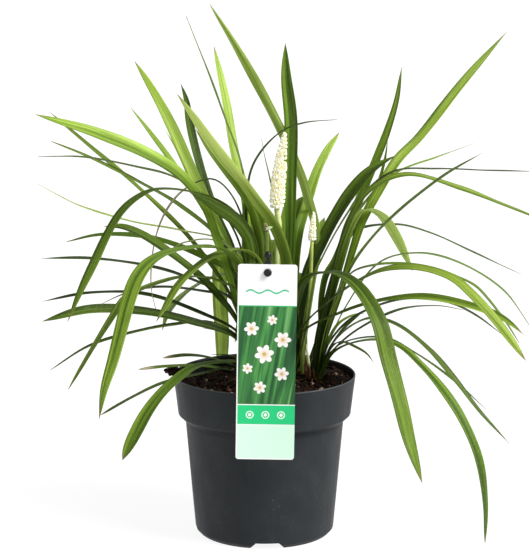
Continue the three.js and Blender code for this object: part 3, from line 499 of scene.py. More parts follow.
def leaf_material():
    """Strap leaves: parallel veins, a keeled and paler underside, pale bases and a few dry tips."""
    s = Shader("leaf", Specular_IOR_Level=0.2)
    across, run, share, leaf = s.values("across", "run", "share", "leaf")
    tone, under, dry, browned, hue, flank = s.values("tone", "under", "dry", "browned", "hue", "flank")
    # Broad soft stripes along the leaf, then fine veins.
    broad = s.noise(s.along(across * 2.1, run * 0.006, leaf), 1.0, 3.0, 0.6)
    fine = s.noise(s.along(across * 6.5, run * 0.012, leaf), 1.0, 2.0, 0.6)
    patches = s.noise(s.along(across, run * 0.035, leaf), 1.0, 3.0)
    # Painted light and shade: one half of the folded blade is lighter than the other, the broad stripes
    # grow stronger towards the root, and the leaf is painted darker towards its root, where its neighbours
    # shade it, and lighter towards its tip.
    level = (broad - 0.5) * s.between(share, 0.5, 0.15, 1.25, 2.2) + tone
    level = across * flank * 0.09 + level
    level = (share - 0.5) * 0.14 + level
    level = level - s.between(share, 0.6, 0.1, 0.0, 0.3) * s.between(tone, 0.9, 0.8)
    level = (fine - 0.5) * 0.6 + level
    top = s.ramp(
        level,
        (0.0, (0.013, 0.025, 0.002)),
        (0.3, (0.055, 0.095, 0.009)),
        (0.55, (0.155, 0.24, 0.026)),
        (0.8, (0.34, 0.46, 0.065)),
        (1.0, (0.62, 0.76, 0.2)),
    )
    below = s.ramp(
        level,
        (0.0, (0.022, 0.038, 0.004)),
        (0.3, (0.085, 0.135, 0.018)),
        (0.6, (0.21, 0.3, 0.042)),
        (1.0, (0.6, 0.73, 0.21)),
    )
    colour = s.mix(under, top, below)
    colour = s.mix(hue, colour, (0.76, 1.0, 0.7), "MULTIPLY")
    colour = s.mix(s.between(patches, 0.5, 0.75, 0.0, 0.25), colour, (0.07, 0.14, 0.005))
    # Short pale flecks of painted sheen, mostly on the outer half.
    sheen_flecks = s.noise(s.along(across * 8.0, run * 0.32, leaf), 1.0, 2.0, 0.7)
    sheen_flecks = s.between(sheen_flecks, 0.56, 0.74, 0.0, 0.4) * s.between(share, 0.3, 0.85)
    colour = s.mix(sheen_flecks, colour, (0.42, 0.52, 0.22))
    # The edges and the midrib catch a pale line.
    edge = s.between(abs(across), 0.86, 1.0, 0.0, 0.35)
    rib = s.between(abs(across), 0.1, 0.02, 0.0, 0.22)
    colour = s.mix(s.math("MAXIMUM", edge, rib), colour, (0.24, 0.36, 0.05))
    # Pale sheath at the root, then brown tips and withered ends.
    colour = s.mix(s.between(patches * 14.0 + run, 26.0, 12.0, 0.0, 0.6), colour, (0.28, 0.3, 0.1))
    tip = s.between(patches * 0.04 + share, 0.985, 1.02) * browned
    colour = s.mix(tip, colour, (0.3, 0.21, 0.07))
    straw = s.mix(s.between(patches, 0.35, 0.65), (0.56, 0.53, 0.33), (0.3, 0.2, 0.1))
    colour = s.mix(dry, colour, straw)
    through = s.ramp(level, (0.1, (0.24, 0.36, 0.02)), (0.5, (0.56, 0.74, 0.1)), (1.0, (0.9, 0.97, 0.42)))
    s.translucent(0.3, s.mix(dry, through, straw))
    s.feed(Base_Color=colour, Roughness=s.between(patches, 0.2, 0.9, 0.36, 0.5))
    veins = s.math("SINE", across * 38.0)
    s.bump(veins * 0.35 + fine + broad, 0.0003, 0.7)
    return s.material


def sheath_material():
    """Papery sheaths at the foot of each fan, with fibres along them: brown, or fresh and cream."""
    s = Shader("sheath", Specular_IOR_Level=0.2, Roughness=0.75)
    across, run, leaf, fresh = s.values("across", "run", "leaf", "tone")
    fibres = s.noise(s.along(across * 6.0, run * 0.05, leaf), 1.0, 4.0, 0.7)
    colour = s.ramp(
        fibres,
        (0.3, (0.02, 0.008, 0.004)),
        (0.45, (0.09, 0.028, 0.012)),
        (0.58, (0.26, 0.11, 0.05)),
        (0.72, (0.6, 0.36, 0.2)),
    )
    cream = s.mix(fibres, (0.8, 0.85, 0.38), (1.0, 1.0, 0.72))
    colour = s.mix(s.between(fresh, 0.3, 0.6, 0.0, 0.25), colour, (0.3, 0.26, 0.1))
    colour = s.mix(s.between(fresh, 0.7, 0.85), colour, cream)
    s.translucent(0.35, colour)
    s.feed(Base_Color=colour)
    s.bump(fibres, 0.0005)
    return s.material


def stalk_material(name, low, high):
    """Fleshy flower stalks with fine ribs, from a lower to an upper colour."""
    s = Shader(name, Roughness=0.45, Specular_IOR_Level=0.2)
    s.feed(Subsurface_Weight=0.08, Subsurface_Radius=(0.002, 0.003, 0.001))
    share, tone = s.values("share", "tone")
    grain = s.noise(s.place((900, 900, 60)), 1.0, 4.0)
    colour = s.mix(share, low, high)
    colour = s.mix(s.between(grain, 0.35, 0.7, 0.0, 0.4), colour, tuple(0.55 * c for c in low))
    colour = s.mix(tone, colour, (0.6, 0.55, 0.3))
    s.feed(Base_Color=colour)
    s.bump(grain, 0.0003)
    return s.material


def petal_material():
    """Waxy cream buds with yellow feet and a few tan specks, and some buds that are tan all over, which
    glow faintly as painted light.
    """
    # The buds glow faintly in their own colour: painted light that lightens the shade in the gaps between
    # them.
    s = Shader("petal", Roughness=0.5, Specular_IOR_Level=0.25, Emission_Strength=0.14)
    s.feed(Subsurface_Weight=0.5, Subsurface_Radius=(0.003, 0.0026, 0.0018))
    share, tint = s.values("share", "tint")
    specks = s.noise(s.place(), 900.0, 3.0)
    colour = s.mix(s.between(share, 0.45, 0.0), (0.97, 0.955, 0.8), (0.86, 0.83, 0.5))
    colour = s.mix(s.between(tint, 0.7, 0.95, 0.0, 0.6), colour, (0.82, 0.66, 0.36))
    colour = s.mix(s.between(specks, 0.6, 0.75, 0.0, 0.25), colour, (0.85, 0.74, 0.45))
    s.feed(Base_Color=colour, Emission_Color=colour)
    s.bump(specks, 0.0002, 0.5)
    return s.material


def pot_material():
    """Moulded dark grey plastic with a faint grain and dust, a painted highlight along its lip and painted
    shade under its collar.
    """
    s = Shader("pot_plastic", Specular_IOR_Level=0.12)
    place = s.place()
    grain = s.noise(place, 1600.0, 2.0)
    dust = s.noise(place, 34.0, 6.0, 0.6)
    streaks = s.noise(s.place((60, 60, 9)), 1.0, 5.0, 0.65)
    specks = s.between(s.cells(place, 230.0), 0.09, 0.03)
    colour = s.ramp(
        dust,
        (0.3, (0.0175, 0.0205, 0.0235)),
        (0.55, (0.0225, 0.0257, 0.029)),
        (0.8, (0.031, 0.0345, 0.038)),
    )
    colour = s.mix(s.between(streaks, 0.55, 0.78, 0.0, 0.25), colour, (0.055, 0.058, 0.062))
    colour = s.mix(specks * s.between(dust, 0.5, 0.62), colour, (0.2, 0.19, 0.17))
    height = s.axes(place)[2]
    # A painted highlight along the rim's lip, patchy with the streaks.
    lip_highlight = s.between(height, MM * (POT_HEIGHT - 1.1), MM * (POT_HEIGHT - 0.5), 0.0, 0.6)
    colour = s.mix(lip_highlight * s.between(streaks, 0.3, 0.6, 0.5, 1.0), colour, (0.14, 0.145, 0.15))
    # Painted shade in the hollow under the collar.
    collar_shade = s.between(height, MM * (BODY_TOP_HEIGHT - 5), MM * BODY_TOP_HEIGHT, 0.0, 0.5)
    above = s.between(height, MM * COLLAR_FOOT_HEIGHT, MM * (COLLAR_FOOT_HEIGHT - 3))
    colour = s.mix(collar_shade * above, colour, (0.006, 0.007, 0.008))
    s.feed(Base_Color=colour, Roughness=s.between(streaks, 0.3, 0.8, 0.42, 0.62))
    s.bump(dust * 0.7 + grain, 0.00018, 0.6)
    return s.material


def peat_material():
    """Moist peat: nearly black, with rusty fibres and pale grains."""
    s = Shader("peat", Specular_IOR_Level=0.2)
    place = s.place()
    lumps = s.noise(place, 110.0, 8.0, 0.7)
    grains = s.cells(place, 420.0)
    colour = s.ramp(
        lumps,
        (0.25, (0.004, 0.0025, 0.0015)),
        (0.5, (0.01, 0.0052, 0.003)),
        (0.64, (0.034, 0.013, 0.006)),
        (0.85, (0.1, 0.042, 0.02)),
    )
    pale = s.between(grains, 0.16, 0.05) * s.between(s.noise(place, 60.0, 3.0), 0.55, 0.7)
    colour = s.mix(pale, colour, (0.28, 0.2, 0.14))
    s.feed(Base_Color=colour, Roughness=s.between(lumps, 0.3, 0.7, 0.95, 0.7))
    s.bump(lumps + grains * 0.4, 0.0018)
    return s.material


def crumb_material():
    """Loose bits on the peat, each of its own colour."""
    s = Shader("peat_crumb", Specular_IOR_Level=0.1, Roughness=0.85)
    (tint,) = s.values("tint")
    grain = s.noise(s.place(), 700.0, 5.0, 0.7)
    colour = s.ramp(
        (grain - 0.5) * 0.35 + tint,
        (0.0, (0.004, 0.0025, 0.0015)),
        (0.5, (0.014, 0.007, 0.004)),
        (0.75, (0.05, 0.018, 0.009)),
        (0.9, (0.17, 0.07, 0.037)),
        (1.0, (0.55, 0.42, 0.34)),
    )
    s.feed(Base_Color=colour)
    s.bump(grain, 0.0006)
    return s.material


def peg_material():
    """Glossy black moulded plastic with a fine grain and rubbed spots."""
    s = Shader("peg_plastic", Specular_IOR_Level=0.35)
    grain = s.noise(s.place(), 1500.0, 3.0)
    wear = s.noise(s.place(), 90.0, 5.0)
    colour = s.mix(s.between(wear, 0.5, 0.75, 0.0, 0.5), (0.004, 0.0045, 0.0055), (0.018, 0.019, 0.021))
    s.feed(Base_Color=colour, Roughness=s.between(wear, 0.3, 0.7, 0.28, 0.45))
    s.bump(grain, 0.00012, 0.5)
    return s.material


# ---- Leaves ----

LEAF_STEP = 4.5
LEAF_ACROSS = 8
LEAF_THICKNESS = 0.75
LEAF_EDGE = 0.14
LEAF_NARROWEST = 0.12
KEEL_HEIGHT = 0.35
KEEL_WIDTH = 0.16
# A leaf sways about its length, in degrees, and its edges ripple.
SWAY = 3.5
SWAY_LENGTH = 23
RIPPLE = 0.22
RIPPLE_LENGTH = 11


def width_share(share, bluntness):
    """A blade's width at a share of its length, as a share of its greatest width."""
    rise = BASE_SHARE + (1 - BASE_SHARE) * smooth_step(share, 0, WIDEST_AT)
    fall = 1 - np.clip((share - WIDEST_AT) / (1 - WIDEST_AT), 0, 1) ** bluntness
    return np.where(share < WIDEST_AT, rise, fall)


def ramped(ends, share):
    """A number at a share of the way along, from one number or from a (root, tip) pair."""
    root, tip = np.broadcast_to(ends, 2)
    return root + (tip - root) * share


def blade(build, crown, row, number, wave=1.0, withered=1.0):
    """One thin leaf as a closed solid: a channelled strap with sharp edges, a keel and a pointed tip."""
    azimuth, width, twist, bluntness, tone, *route = row
    rng = random.Random(number * 7919)
    line, length = spline([[ROOT_REACH, SOIL_HEIGHT - ROOT_DEPTH], *route], LEAF_STEP)
    turn = math.radians(azimuth)
    outward = np.array([math.cos(turn), math.sin(turn), 0.0])
    level = np.array([-math.sin(turn), math.cos(turn), 0.0])
    centre = np.array([*crown, 0.0]) + np.outer(line[:, 0], outward) + np.outer(line[:, 1], [0, 0, 1])
    up = np.cross(directions(centre), level)
    run = np.linspace(0, length, len(centre))
    share = run / length
    # Four draws, so that the choices further down stay the same for a number.
    sway_phase, ripple_phase, _, _ = (rng.uniform(0, 2 * math.pi) for _ in range(4))
    sway = wave * SWAY * np.sin(run / SWAY_LENGTH + sway_phase) * smooth_step(share, 0.1, 0.5)
    turned_by = np.radians(ramped(twist, share) + sway)[:, None]
    across = level * np.cos(turned_by) + up * np.sin(turned_by)
    face = -level * np.sin(turned_by) + up * np.cos(turned_by)
    full = width_share(share, bluntness)
    half = np.maximum(width / 2 * full, LEAF_NARROWEST)
    s = np.linspace(-1, 1, LEAF_ACROSS + 1)
    fold = BLADE_FOLD * (1.25 - 0.35 * share) * half
    ripple = np.sin(run / RIPPLE_LENGTH + ripple_phase) * smooth_step(share, 0.15, 0.6)
    ripple = wave * RIPPLE * np.outer(ripple, s**2 * np.sign(s))
    lift = np.outer(fold, np.abs(s) ** 1.35 - 0.5) + ripple
    body = (LEAF_EDGE + (LEAF_THICKNESS - LEAF_EDGE) * (1 - s**2)) / 2
    body = np.outer(0.45 + 0.55 * full, body)
    keel = np.outer(KEEL_HEIGHT * (1 - share), np.exp(-((s / KEEL_WIDTH) ** 2)))
    side = np.outer(half, s)

    def skin(height):
        return centre[:, None] + side[..., None] * across[:, None] + height[..., None] * face[:, None]

    upper = skin(lift + body)
    lower = skin(lift - body - keel)[:, ::-1]
    rings = np.concatenate([upper, lower], axis=1)
    count, sides = rings.shape[:2]
    build.add(
        rings.reshape(-1, 3),
        tube_faces(count, sides),
        across=np.tile(np.concatenate([s, s[::-1]]), count),
        run=np.repeat(run, sides),
        share=np.repeat(share, sides),
        under=np.tile(np.repeat([0.0, 1.0], len(s)), count),
        tone=np.repeat(ramped(tone, smooth_step(share, 0.3, 0.85)), sides),
        leaf=number * 3.7,
        dry=np.repeat(smooth_step(share, withered - 0.03, withered + 0.03), sides),
        browned=rng.choice([0.0, 0.0, 0.5, 1.0]),
        # Which half of the blade gets the painted shade.
        flank=rng.choice([-1.0, 1.0]),
        hue=rng.uniform(0.0, 0.7),
    )


def make_leaves():
    material = leaf_material()
    number = 0
    for name, (crown, rows) in FANS.items():
        build = Build()
        for row in rows:
            number += 1
            blade(build, crown, row, number, withered=WITHERED.get(number, 1.0))
        build.piece("leaves_" + name.removeprefix("fan_"), material, "leaf", [name])


# Sheaths and loose fibres at each crown, and the numbers that their random draws start from.
SHEATH_COUNT = 14
FIBRE_COUNT = 12
SHEATH_NUMBER = 500
FIBRE_NUMBER = 700
FRESH_SHEATH_NUMBER = 600
FRESH_SHEATH_FOOT = (47, 10)
FRESH_SHEATH_SHAPE = [180, 3.0, (84, 88), 2.4, (0.6, 1)]
FRESH_SHEATH_ROUTE = [[4.5, SOIL_HEIGHT + 8], [5.6, SOIL_HEIGHT + 20], [8, SOIL_HEIGHT + 38]]


def make_sheaths():
    """Short dry sheaths and loose fibres round each crown, and one sheath still fresh and cream."""
    build = Build()
    rng = random.Random(31)
    for crown, _ in FANS.values():
        for k in range(SHEATH_COUNT):
            azimuth = 26 * k + rng.uniform(-14, 14)
            top = rng.uniform(5, 19)
            lean = rng.uniform(0.5, 4.5)
            reach = rng.uniform(4.2, 7)
            route = [[reach, 1], [reach + 0.6, top / 2], [reach + lean, top]]
            route = [[out, SOIL_HEIGHT + rise] for out, rise in route]
            width = rng.uniform(1.6, 4)
            twist = (rng.uniform(-25, 25), rng.uniform(-50, 50))
            row = [azimuth, width, twist, rng.uniform(1.3, 2.4), 0.3, *route]
            blade(build, crown, row, SHEATH_NUMBER + build.count, wave=0.4)
        # Loose fibres that arch out over the peat.
        for _ in range(FIBRE_COUNT):
            azimuth, reach, rise = rng.uniform(0, 360), rng.uniform(9, 26), rng.uniform(2, 7)
            route = [[4, SOIL_HEIGHT + 1], [0.6 * reach, SOIL_HEIGHT + rise], [reach, SOIL_HEIGHT + 1]]
            row = [azimuth, rng.uniform(0.7, 1.3), (0, rng.uniform(-60, 60)), 2, 0.6, *route]
            blade(build, crown, row, FIBRE_NUMBER + build.count, wave=1.5)
    row = [*FRESH_SHEATH_SHAPE, *FRESH_SHEATH_ROUTE]
    blade(build, FRESH_SHEATH_FOOT, row, FRESH_SHEATH_NUMBER, wave=0.2)
    build.piece("sheaths", sheath_material(), "leaf")


# ---- Flower spikes ----

# Each spike: the routes of its stalk and head, the stalk's radius at its foot and top, the head's radius,
# how full it stays towards its tip, its whorls of buds, the buds in each and their length, and the stalk's
# lower and upper colours.
SPIKES = {
    "spike_1": {
        "stalk": [[12, 2, 122], [12.4, 0, 200], [11.5, -1.6, 262], [13.2, -2, 289], [11.2, -2, 304.8]],
        "head": [[11.3, -2, 305.6], [12.6, -2, 328.5], [15, -2, 349.6], [18.4, -2, 374]],
        "stalk_radius": (1.9, 2.6),
        "head_radius": 7.2,
        "taper": 2.6,
        "whorls": 19,
        "buds": 13,
        "bud": 3.6,
        "colours": ((0.36, 0.5, 0.08), (0.74, 0.8, 0.38)),
    },
    "spike_2": {
        "stalk": [[36, 28, 122], [36.3, 27.4, 171], [39.7, 27, 191], [42.8, 27, 220], [44.6, 27, 270.9]],
        "head": [[44.6, 27, 271.5], [45.2, 27, 284], [46.3, 27, 297.5]],
        "stalk_radius": (1.9, 1.6),
        "head_radius": 4.3,
        "taper": 1.6,
        "whorls": 11,
        "buds": 8,
        "bud": 2.9,
        "colours": ((0.2, 0.3, 0.05), (0.56, 0.66, 0.15)),
    },
    "spike_3": {
        "stalk": [[1.8, -38, 122], [2, -38, 200], [2, -38, 250], [1.8, -38, 288.6]],
        "head": [[1.8, -38, 289.2], [1.3, -38, 292.4], [0.7, -38, 296]],
        "stalk_radius": (2.6, 2.4),
        "head_radius": 2.9,
        "taper": 1.6,
        "whorls": 4,
        "buds": 6,
        "bud": 2.3,
        "colours": ((0.07, 0.12, 0.012), (0.13, 0.19, 0.03)),
    },
}
STALK_SIDES = 20


def bud_shape():
    """A closed bud about +Z from 0 to 1: an egg with six shallow furrows and a pointed tip."""
    vertices, faces = ball(3)
    angle = np.arctan2(vertices[:, 1], vertices[:, 0])
    height = (vertices[:, 2] + 1) / 2
    swell = (0.78 + 0.3 * np.sin(math.pi * height**0.8)) * (1 - 0.35 * height**3)
    swell *= 1 - 0.09 * np.cos(6 * angle) * np.sin(math.pi * height)
    shaped = vertices * swell[:, None]
    shaped[:, 2] = height + 0.08 * height**6
    shaped[:, :2] *= 0.42
    return shaped, faces, height


def head_share(share, taper):
    """The share of a head's greatest radius at a share of its height."""
    return min(1, 0.86 + 1.8 * share) * (1 - 0.8 * share**taper)


def make_spike(name, plan, petal):
    """One flower spike: a ribbed stalk, and a head of buds in whorls on a slim core."""
    rng = random.Random(name)
    low, high = plan["stalk_radius"]
    material = stalk_material(name + "_stalk", *plan["colours"])
    line, _ = spline(plan["stalk"], 3)
    share = np.linspace(0, 1, len(line))
    stalk = Build()
    vertices, faces = tube(line, low + (high - low) * share, STALK_SIDES, 0.035, 9)
    stalk.add(vertices, faces, share=np.repeat(share, STALK_SIDES), tone=0.0)
    stalk.piece(name + "_scape", material, "stalk", [name + "_stalk"])

    axis, _ = spline(plan["head"], 0.5)
    tangents = directions(axis)
    head = Build()
    radius, whorls, buds = plan["head_radius"], plan["whorls"], plan["buds"]
    core = [max(0.5, 0.5 * radius * (1 - 0.7 * t)) for t in np.linspace(0, 1, len(axis))]
    vertices, faces = tube(axis, core, 12)
    head.add(vertices, faces, share=0.3, tint=0.2)
    shape, shape_faces, height = bud_shape()
    for whorl in range(whorls):
        for k in range(buds):
            at = (whorl + 0.35 + rng.uniform(-0.3, 0.3)) / whorls
            i = min(len(axis) - 1, max(0, int(at * len(axis))))
            size = plan["bud"] * (1 - 0.45 * at**1.5) * rng.uniform(0.85, 1.12)
            angle = 2 * math.pi * (k + 0.5 * (whorl % 2) + rng.uniform(-0.25, 0.25)) / buds
            side = np.cross(tangents[i], [0, 1, 0])
            side /= np.linalg.norm(side)
            out = side * math.cos(angle) + np.cross(tangents[i], side) * math.sin(angle)
            lift = math.radians(rng.uniform(18, 50) + 30 * at)
            aim = out * math.cos(lift) + tangents[i] * math.sin(lift)
            reach = radius * head_share(at, plan["taper"]) - size * math.cos(lift) * 0.95
            reach = max(0.1, reach - rng.uniform(0, 0.5))
            foot = axis[i] + out * reach
            turned_shape = size * shape @ pointing(aim, rng.uniform(0, 6)).T + foot
            head.add(turned_shape, shape_faces, share=height, tint=rng.random())
            # Every other bud that stands clear of the core has a short stem.
            if reach > 1.2 and k % 2 == 0:
                vertices, faces = tube([axis[i], foot + 0.2 * size * aim], [0.3, 0.38], 6)
                head.add(vertices, faces, share=0.1, tint=0.3)
    head.piece(name + "_buds", petal, "petal", [name + "_flowers"])


# The bract under the young spike's bud: foot, direction, and width, thickness and length.
BRACT_FOOT = (1.2, -40.2, 290.6)
BRACT_AIM = (5.3, -0.6, 2.3)
BRACT_SIZE = (3.6, 1.6, 6.4)


def make_spikes():
    petal = petal_material()
    young = stalk_material("young_bud", (0.2, 0.26, 0.08), (0.36, 0.26, 0.15))
    for name, plan in SPIKES.items():
        make_spike(name, plan, young if name == "spike_3" else petal)
    bract = Build()
    shape, faces, height = bud_shape()
    shape = shape * BRACT_SIZE @ pointing(BRACT_AIM, 0.5 * math.pi).T
    bract.add(shape + BRACT_FOOT, faces, share=height, tone=0.0)
    bract.piece("spike_3_bract", stalk_material("bract", (0.75, 0.8, 0.6), (0.42, 0.6, 0.22)), "stalk")


# ---- Pot and peat ----

POT_HEIGHT = 150
RIM_RADIUS = 85
COLLAR_FOOT_RADIUS = 80.8
COLLAR_FOOT_HEIGHT = 113.3
BODY_TOP_RADIUS = 74
BODY_TOP_HEIGHT = 107.3
BODY_FOOT_RADIUS = 65.3
FOOT_RADIUS = 62.3
POT_WALL = 1.6
FLOOR_UNDERSIDE = 6
FLOOR_TOP = 8
PAD_RADIUS = 18
PAD_FLOOR = 2
# The foot ring's notches: width at the bottom and top, height, turn in degrees and count.
NOTCH_BOTTOM = 31
NOTCH_TOP = 20.5
NOTCH_HEIGHT = 5.8
NOTCH_TURN = 2.3
NOTCH_COUNT = 4
DRAIN_RADIUS = 5
DRAIN_RING = 45
DRAIN_COUNT = 8
POT_SIDES = 256
RIM_RISE = 1.8
PEAT_RINGS = 110
PEAT_SIDES = 320
CRUMBS = 950
SPILLED_CRUMBS = 170
PEAT_FIBRES = 130
FIBRE_RADII = np.array([0.15, 0.3, 0.35, 0.3, 0.25, 0.12])
# Heaps of peat against the wall: place, height above the rest and spread.
HEAPS = ((-77, 3, 13, 13), (64, 32, 10, 24), (75, -4, 8, 16), (-40, -62, 3, 20), (10, 70, 4, 22))
# Peat that has spilled onto the rim: its middle and spread.
SPILL = (-85.5, 4, 151.6)
SPILL_SPREAD = (2.6, 5.5, 1.5)


def notched(vertices):
    """Heights with the foot ring's notches: within a notch, whatever is lower is raised to its top."""
    radius = np.hypot(vertices[:, 0], vertices[:, 1])
    turn = 360 / NOTCH_COUNT
    angle = np.degrees(np.arctan2(vertices[:, 1], vertices[:, 0])) + 90 - NOTCH_TURN
    offset = np.abs((angle + turn / 2) % turn - turn / 2)
    aside = np.radians(offset) * FOOT_RADIUS
    slope = (NOTCH_BOTTOM - NOTCH_TOP) / 2 / NOTCH_HEIGHT
    top = np.clip((NOTCH_BOTTOM / 2 - aside) / slope, 0, NOTCH_HEIGHT)
    on_foot = radius > FOOT_RADIUS - 3
    return np.where(on_foot, np.maximum(vertices[:, 2], top), vertices[:, 2])


def pot_heights(vertices):
    """Heights of a moulded pot: its foot with the notches, and its collar a little higher at the back."""
    heights = notched(vertices)
    rise = np.clip((heights - COLLAR_FOOT_HEIGHT) / (POT_HEIGHT - COLLAR_FOOT_HEIGHT), 0, 1)
    return heights + RIM_RISE * rise * np.clip(vertices[:, 1] / RIM_RADIUS, 0, 1)


def make_pot():
    """The moulded pot: one turned profile, from under its pad out and over its rim, with drain holes."""
    profile = [
        [0, 0],
        [PAD_RADIUS - 1, 0],
        *arc((PAD_RADIUS - 1, 1), 1, -90, -30),
        [PAD_RADIUS + 4, FLOOR_UNDERSIDE],
        [FOOT_RADIUS - 2, FLOOR_UNDERSIDE],
        [FOOT_RADIUS - 2, 0.4],
        [FOOT_RADIUS - 1.6, 0],
        *arc((FOOT_RADIUS - 1, 1), 1, -90, -30),
        *arc((BODY_FOOT_RADIUS - 3, 5), 3, -50, -5),
        [BODY_FOOT_RADIUS + 3, 40],
        [BODY_TOP_RADIUS - 3, 72],
        *arc((BODY_TOP_RADIUS + 1.5, BODY_TOP_HEIGHT - 0.6), 1.5, 180, 100),
        *arc((COLLAR_FOOT_RADIUS - 1.5, COLLAR_FOOT_HEIGHT + 0.9), 1.5, -70, -5),
        [COLLAR_FOOT_RADIUS + 2, (POT_HEIGHT + COLLAR_FOOT_HEIGHT) / 2],
        [RIM_RADIUS - 0.3, POT_HEIGHT - 3.4],
        *arc((RIM_RADIUS - 0.8, POT_HEIGHT - 0.8), 0.8, 5, 175, 9),
        [RIM_RADIUS - POT_WALL, POT_HEIGHT - 2],
        [COLLAR_FOOT_RADIUS - POT_WALL, COLLAR_FOOT_HEIGHT + 1],
        [BODY_TOP_RADIUS - POT_WALL, BODY_TOP_HEIGHT + 1],
        [BODY_FOOT_RADIUS - POT_WALL, FLOOR_TOP + 1],
        [BODY_FOOT_RADIUS - POT_WALL - 1, FLOOR_TOP],
        [PAD_RADIUS + 2, FLOOR_TOP],
        [PAD_RADIUS - 2, PAD_FLOOR],
        [0, PAD_FLOOR],
    ]
    vertices, faces = turned(profile, POT_SIDES, pot_heights)
    pot = piece("nursery_pot", vertices, faces, pot_material(), ["pot"])
    cutter = Build()
    for k in range(DRAIN_COUNT):
        x, y = polar(DRAIN_RING, 2 * math.pi * (k + 0.5) / DRAIN_COUNT)
        cutter.add(*tube([[x, y, 1], [x, y, FLOOR_TOP + 2]], DRAIN_RADIUS, 32))
    cut = cutter.piece("drain_cutter", None, "pot_plastic")
    bore = pot.modifiers.new("drains", "BOOLEAN")
    bore.object = cut
    bore.operation = "DIFFERENCE"
    bore.solver = "EXACT"
    bpy.context.view_layer.update()
    result = bpy.data.meshes.new_from_object(pot.evaluated_get(bpy.context.evaluated_depsgraph_get()))
    pot.modifiers.clear()
    pot.data = result
    bpy.data.objects.remove(cut)
    split_creases(pot, 35)


def wall_radius(height):
    """The pot's inner radius inside its collar."""
    rise = (height - COLLAR_FOOT_HEIGHT) / (POT_HEIGHT - COLLAR_FOOT_HEIGHT)
    return COLLAR_FOOT_RADIUS + (RIM_RADIUS - COLLAR_FOOT_RADIUS) * rise - POT_WALL


def peat_top(x, y):
    """The height of the peat at a place: the solid's slow waves with lumps on them."""
    base = SOIL_HEIGHT + 1.1 * math.sin(x / 9 + 1) * math.cos(y / 8) + 0.5 * math.sin((x - y) / 5)
    lumps = 1.5 * noise.fractal(Vector((x / 7, y / 7, 0)), 0.8, 2.1, 5)
    lumps += 2.2 * noise.noise(Vector((x / 21, y / 21, 5)))
    near = min(math.hypot(x - cx, y - cy) for (cx, cy), _ in FANS.values())
    heaps = sum(h * math.exp(-((x - hx) ** 2 + (y - hy) ** 2) / spread**2) for hx, hy, h, spread in HEAPS)
    return base + lumps + heaps + 2.0 * math.exp(-((near / 13) ** 2))


def make_peat():
    """The block of peat: a finely lumped top of staggered rings, and plain sides and bottom."""
    edge = wall_radius(SOIL_HEIGHT) - 0.25
    vertices = [[0, 0, peat_top(0, 0)]]
    for ring in range(1, PEAT_RINGS + 1):
        for k in range(PEAT_SIDES):
            x, y = polar(edge * ring / PEAT_RINGS, 2 * math.pi * (k + 0.5 * (ring % 2)) / PEAT_SIDES)
            vertices.append([x, y, peat_top(x, y)])
    for radius, height in ((BODY_TOP_RADIUS, BODY_TOP_HEIGHT), (BODY_FOOT_RADIUS, FLOOR_TOP + 0.4)):
        for k in range(PEAT_SIDES):
            vertices.append([*polar(radius - POT_WALL - 0.5, 2 * math.pi * k / PEAT_SIDES), height])
    vertices.append([0, 0, FLOOR_TOP + 0.4])
    last = len(vertices) - 1
    bottom = last - PEAT_SIDES
    faces = [(0, 1 + k, 1 + (k + 1) % PEAT_SIDES) for k in range(PEAT_SIDES)]
    for ring in range(PEAT_RINGS + 1):
        a = 1 + ring * PEAT_SIDES
        b = a + PEAT_SIDES
        for k in range(PEAT_SIDES):
            n = (k + 1) % PEAT_SIDES
            faces.append((a + k, b + k, b + n, a + n))
    faces += [(bottom + k, last, bottom + (k + 1) % PEAT_SIDES) for k in range(PEAT_SIDES)]
    piece("peat_block", vertices, faces, peat_material(), ["soil"])


def make_crumbs():
    """Crumbs, bark and fibres that lie on the peat, and some that have spilled onto the rim."""
    rng = random.Random(77)
    build = Build()
    vertices, faces = ball(2)
    wall = wall_radius(SOIL_HEIGHT)

    def crumb(place, size, tint, number):
        squash = np.array([rng.uniform(0.6, 1.5), rng.uniform(0.6, 1.2), rng.uniform(0.4, 0.9)])
        shift = Vector((number * 3.1, 0, 0))
        bumps = np.array([1 + 0.55 * noise.noise(Vector(v) * 1.7 + shift) for v in vertices])
        turn = pointing([rng.uniform(-1, 1), rng.uniform(-1, 1), rng.uniform(0.3, 1)], rng.uniform(0, 6))
        build.add((vertices * bumps[:, None] * squash * size) @ turn.T + place, faces, tint=tint)

    for number in range(CRUMBS):
        radius = (wall - 2.5) * math.sqrt(rng.random())
        x, y = polar(radius, rng.uniform(0, 2 * math.pi))
        size = 0.7 + 1.9 * rng.random() ** 3
        tint = 0.97 if rng.random() < 0.045 else 0.9 * rng.random() ** 0.8
        crumb([x, y, peat_top(x, y) + 0.25 * size], size, tint, number)
    for number in range(SPILLED_CRUMBS):
        place = [rng.gauss(middle, spread) for middle, spread in zip(SPILL, SPILL_SPREAD)]
        crumb(place, rng.uniform(0.8, 2.0), 0.8 * rng.random(), 1000 + number)
    for _ in range(PEAT_FIBRES):
        radius = (wall - 6) * math.sqrt(rng.random())
        x, y = polar(radius, rng.uniform(0, 2 * math.pi))
        heading = rng.uniform(0, 2 * math.pi)
        length = rng.uniform(3, 11)
        bend = rng.uniform(-0.8, 0.8)
        line = []
        for t in np.linspace(-0.5, 0.5, len(FIBRE_RADII)):
            dx, dy = polar(length * t, heading + bend * t)
            line.append([x + dx, y + dy, peat_top(x + dx, y + dy) + 0.5])
        fibre, fibre_faces = tube(line, FIBRE_RADII * rng.uniform(0.7, 1.4), 6)
        build.add(fibre, fibre_faces, tint=rng.uniform(0.55, 0.95))
    build.piece("peat_crumbs", crumb_material(), "peat")


# ---- Label ----

CARD_WIDTH = 51.6
CARD_HEIGHT = 174.5
CARD_THICKNESS = 0.8
CARD_CORNER = 2.5
CARD_EASE = 0.12
CARD_HOLE_RADIUS = 3.5
CARD_HOLE_BELOW_TOP = 7.4
CARD_MIDDLE = (1.5, -91.6, 179.8)
CARD_LEAN = 0.9
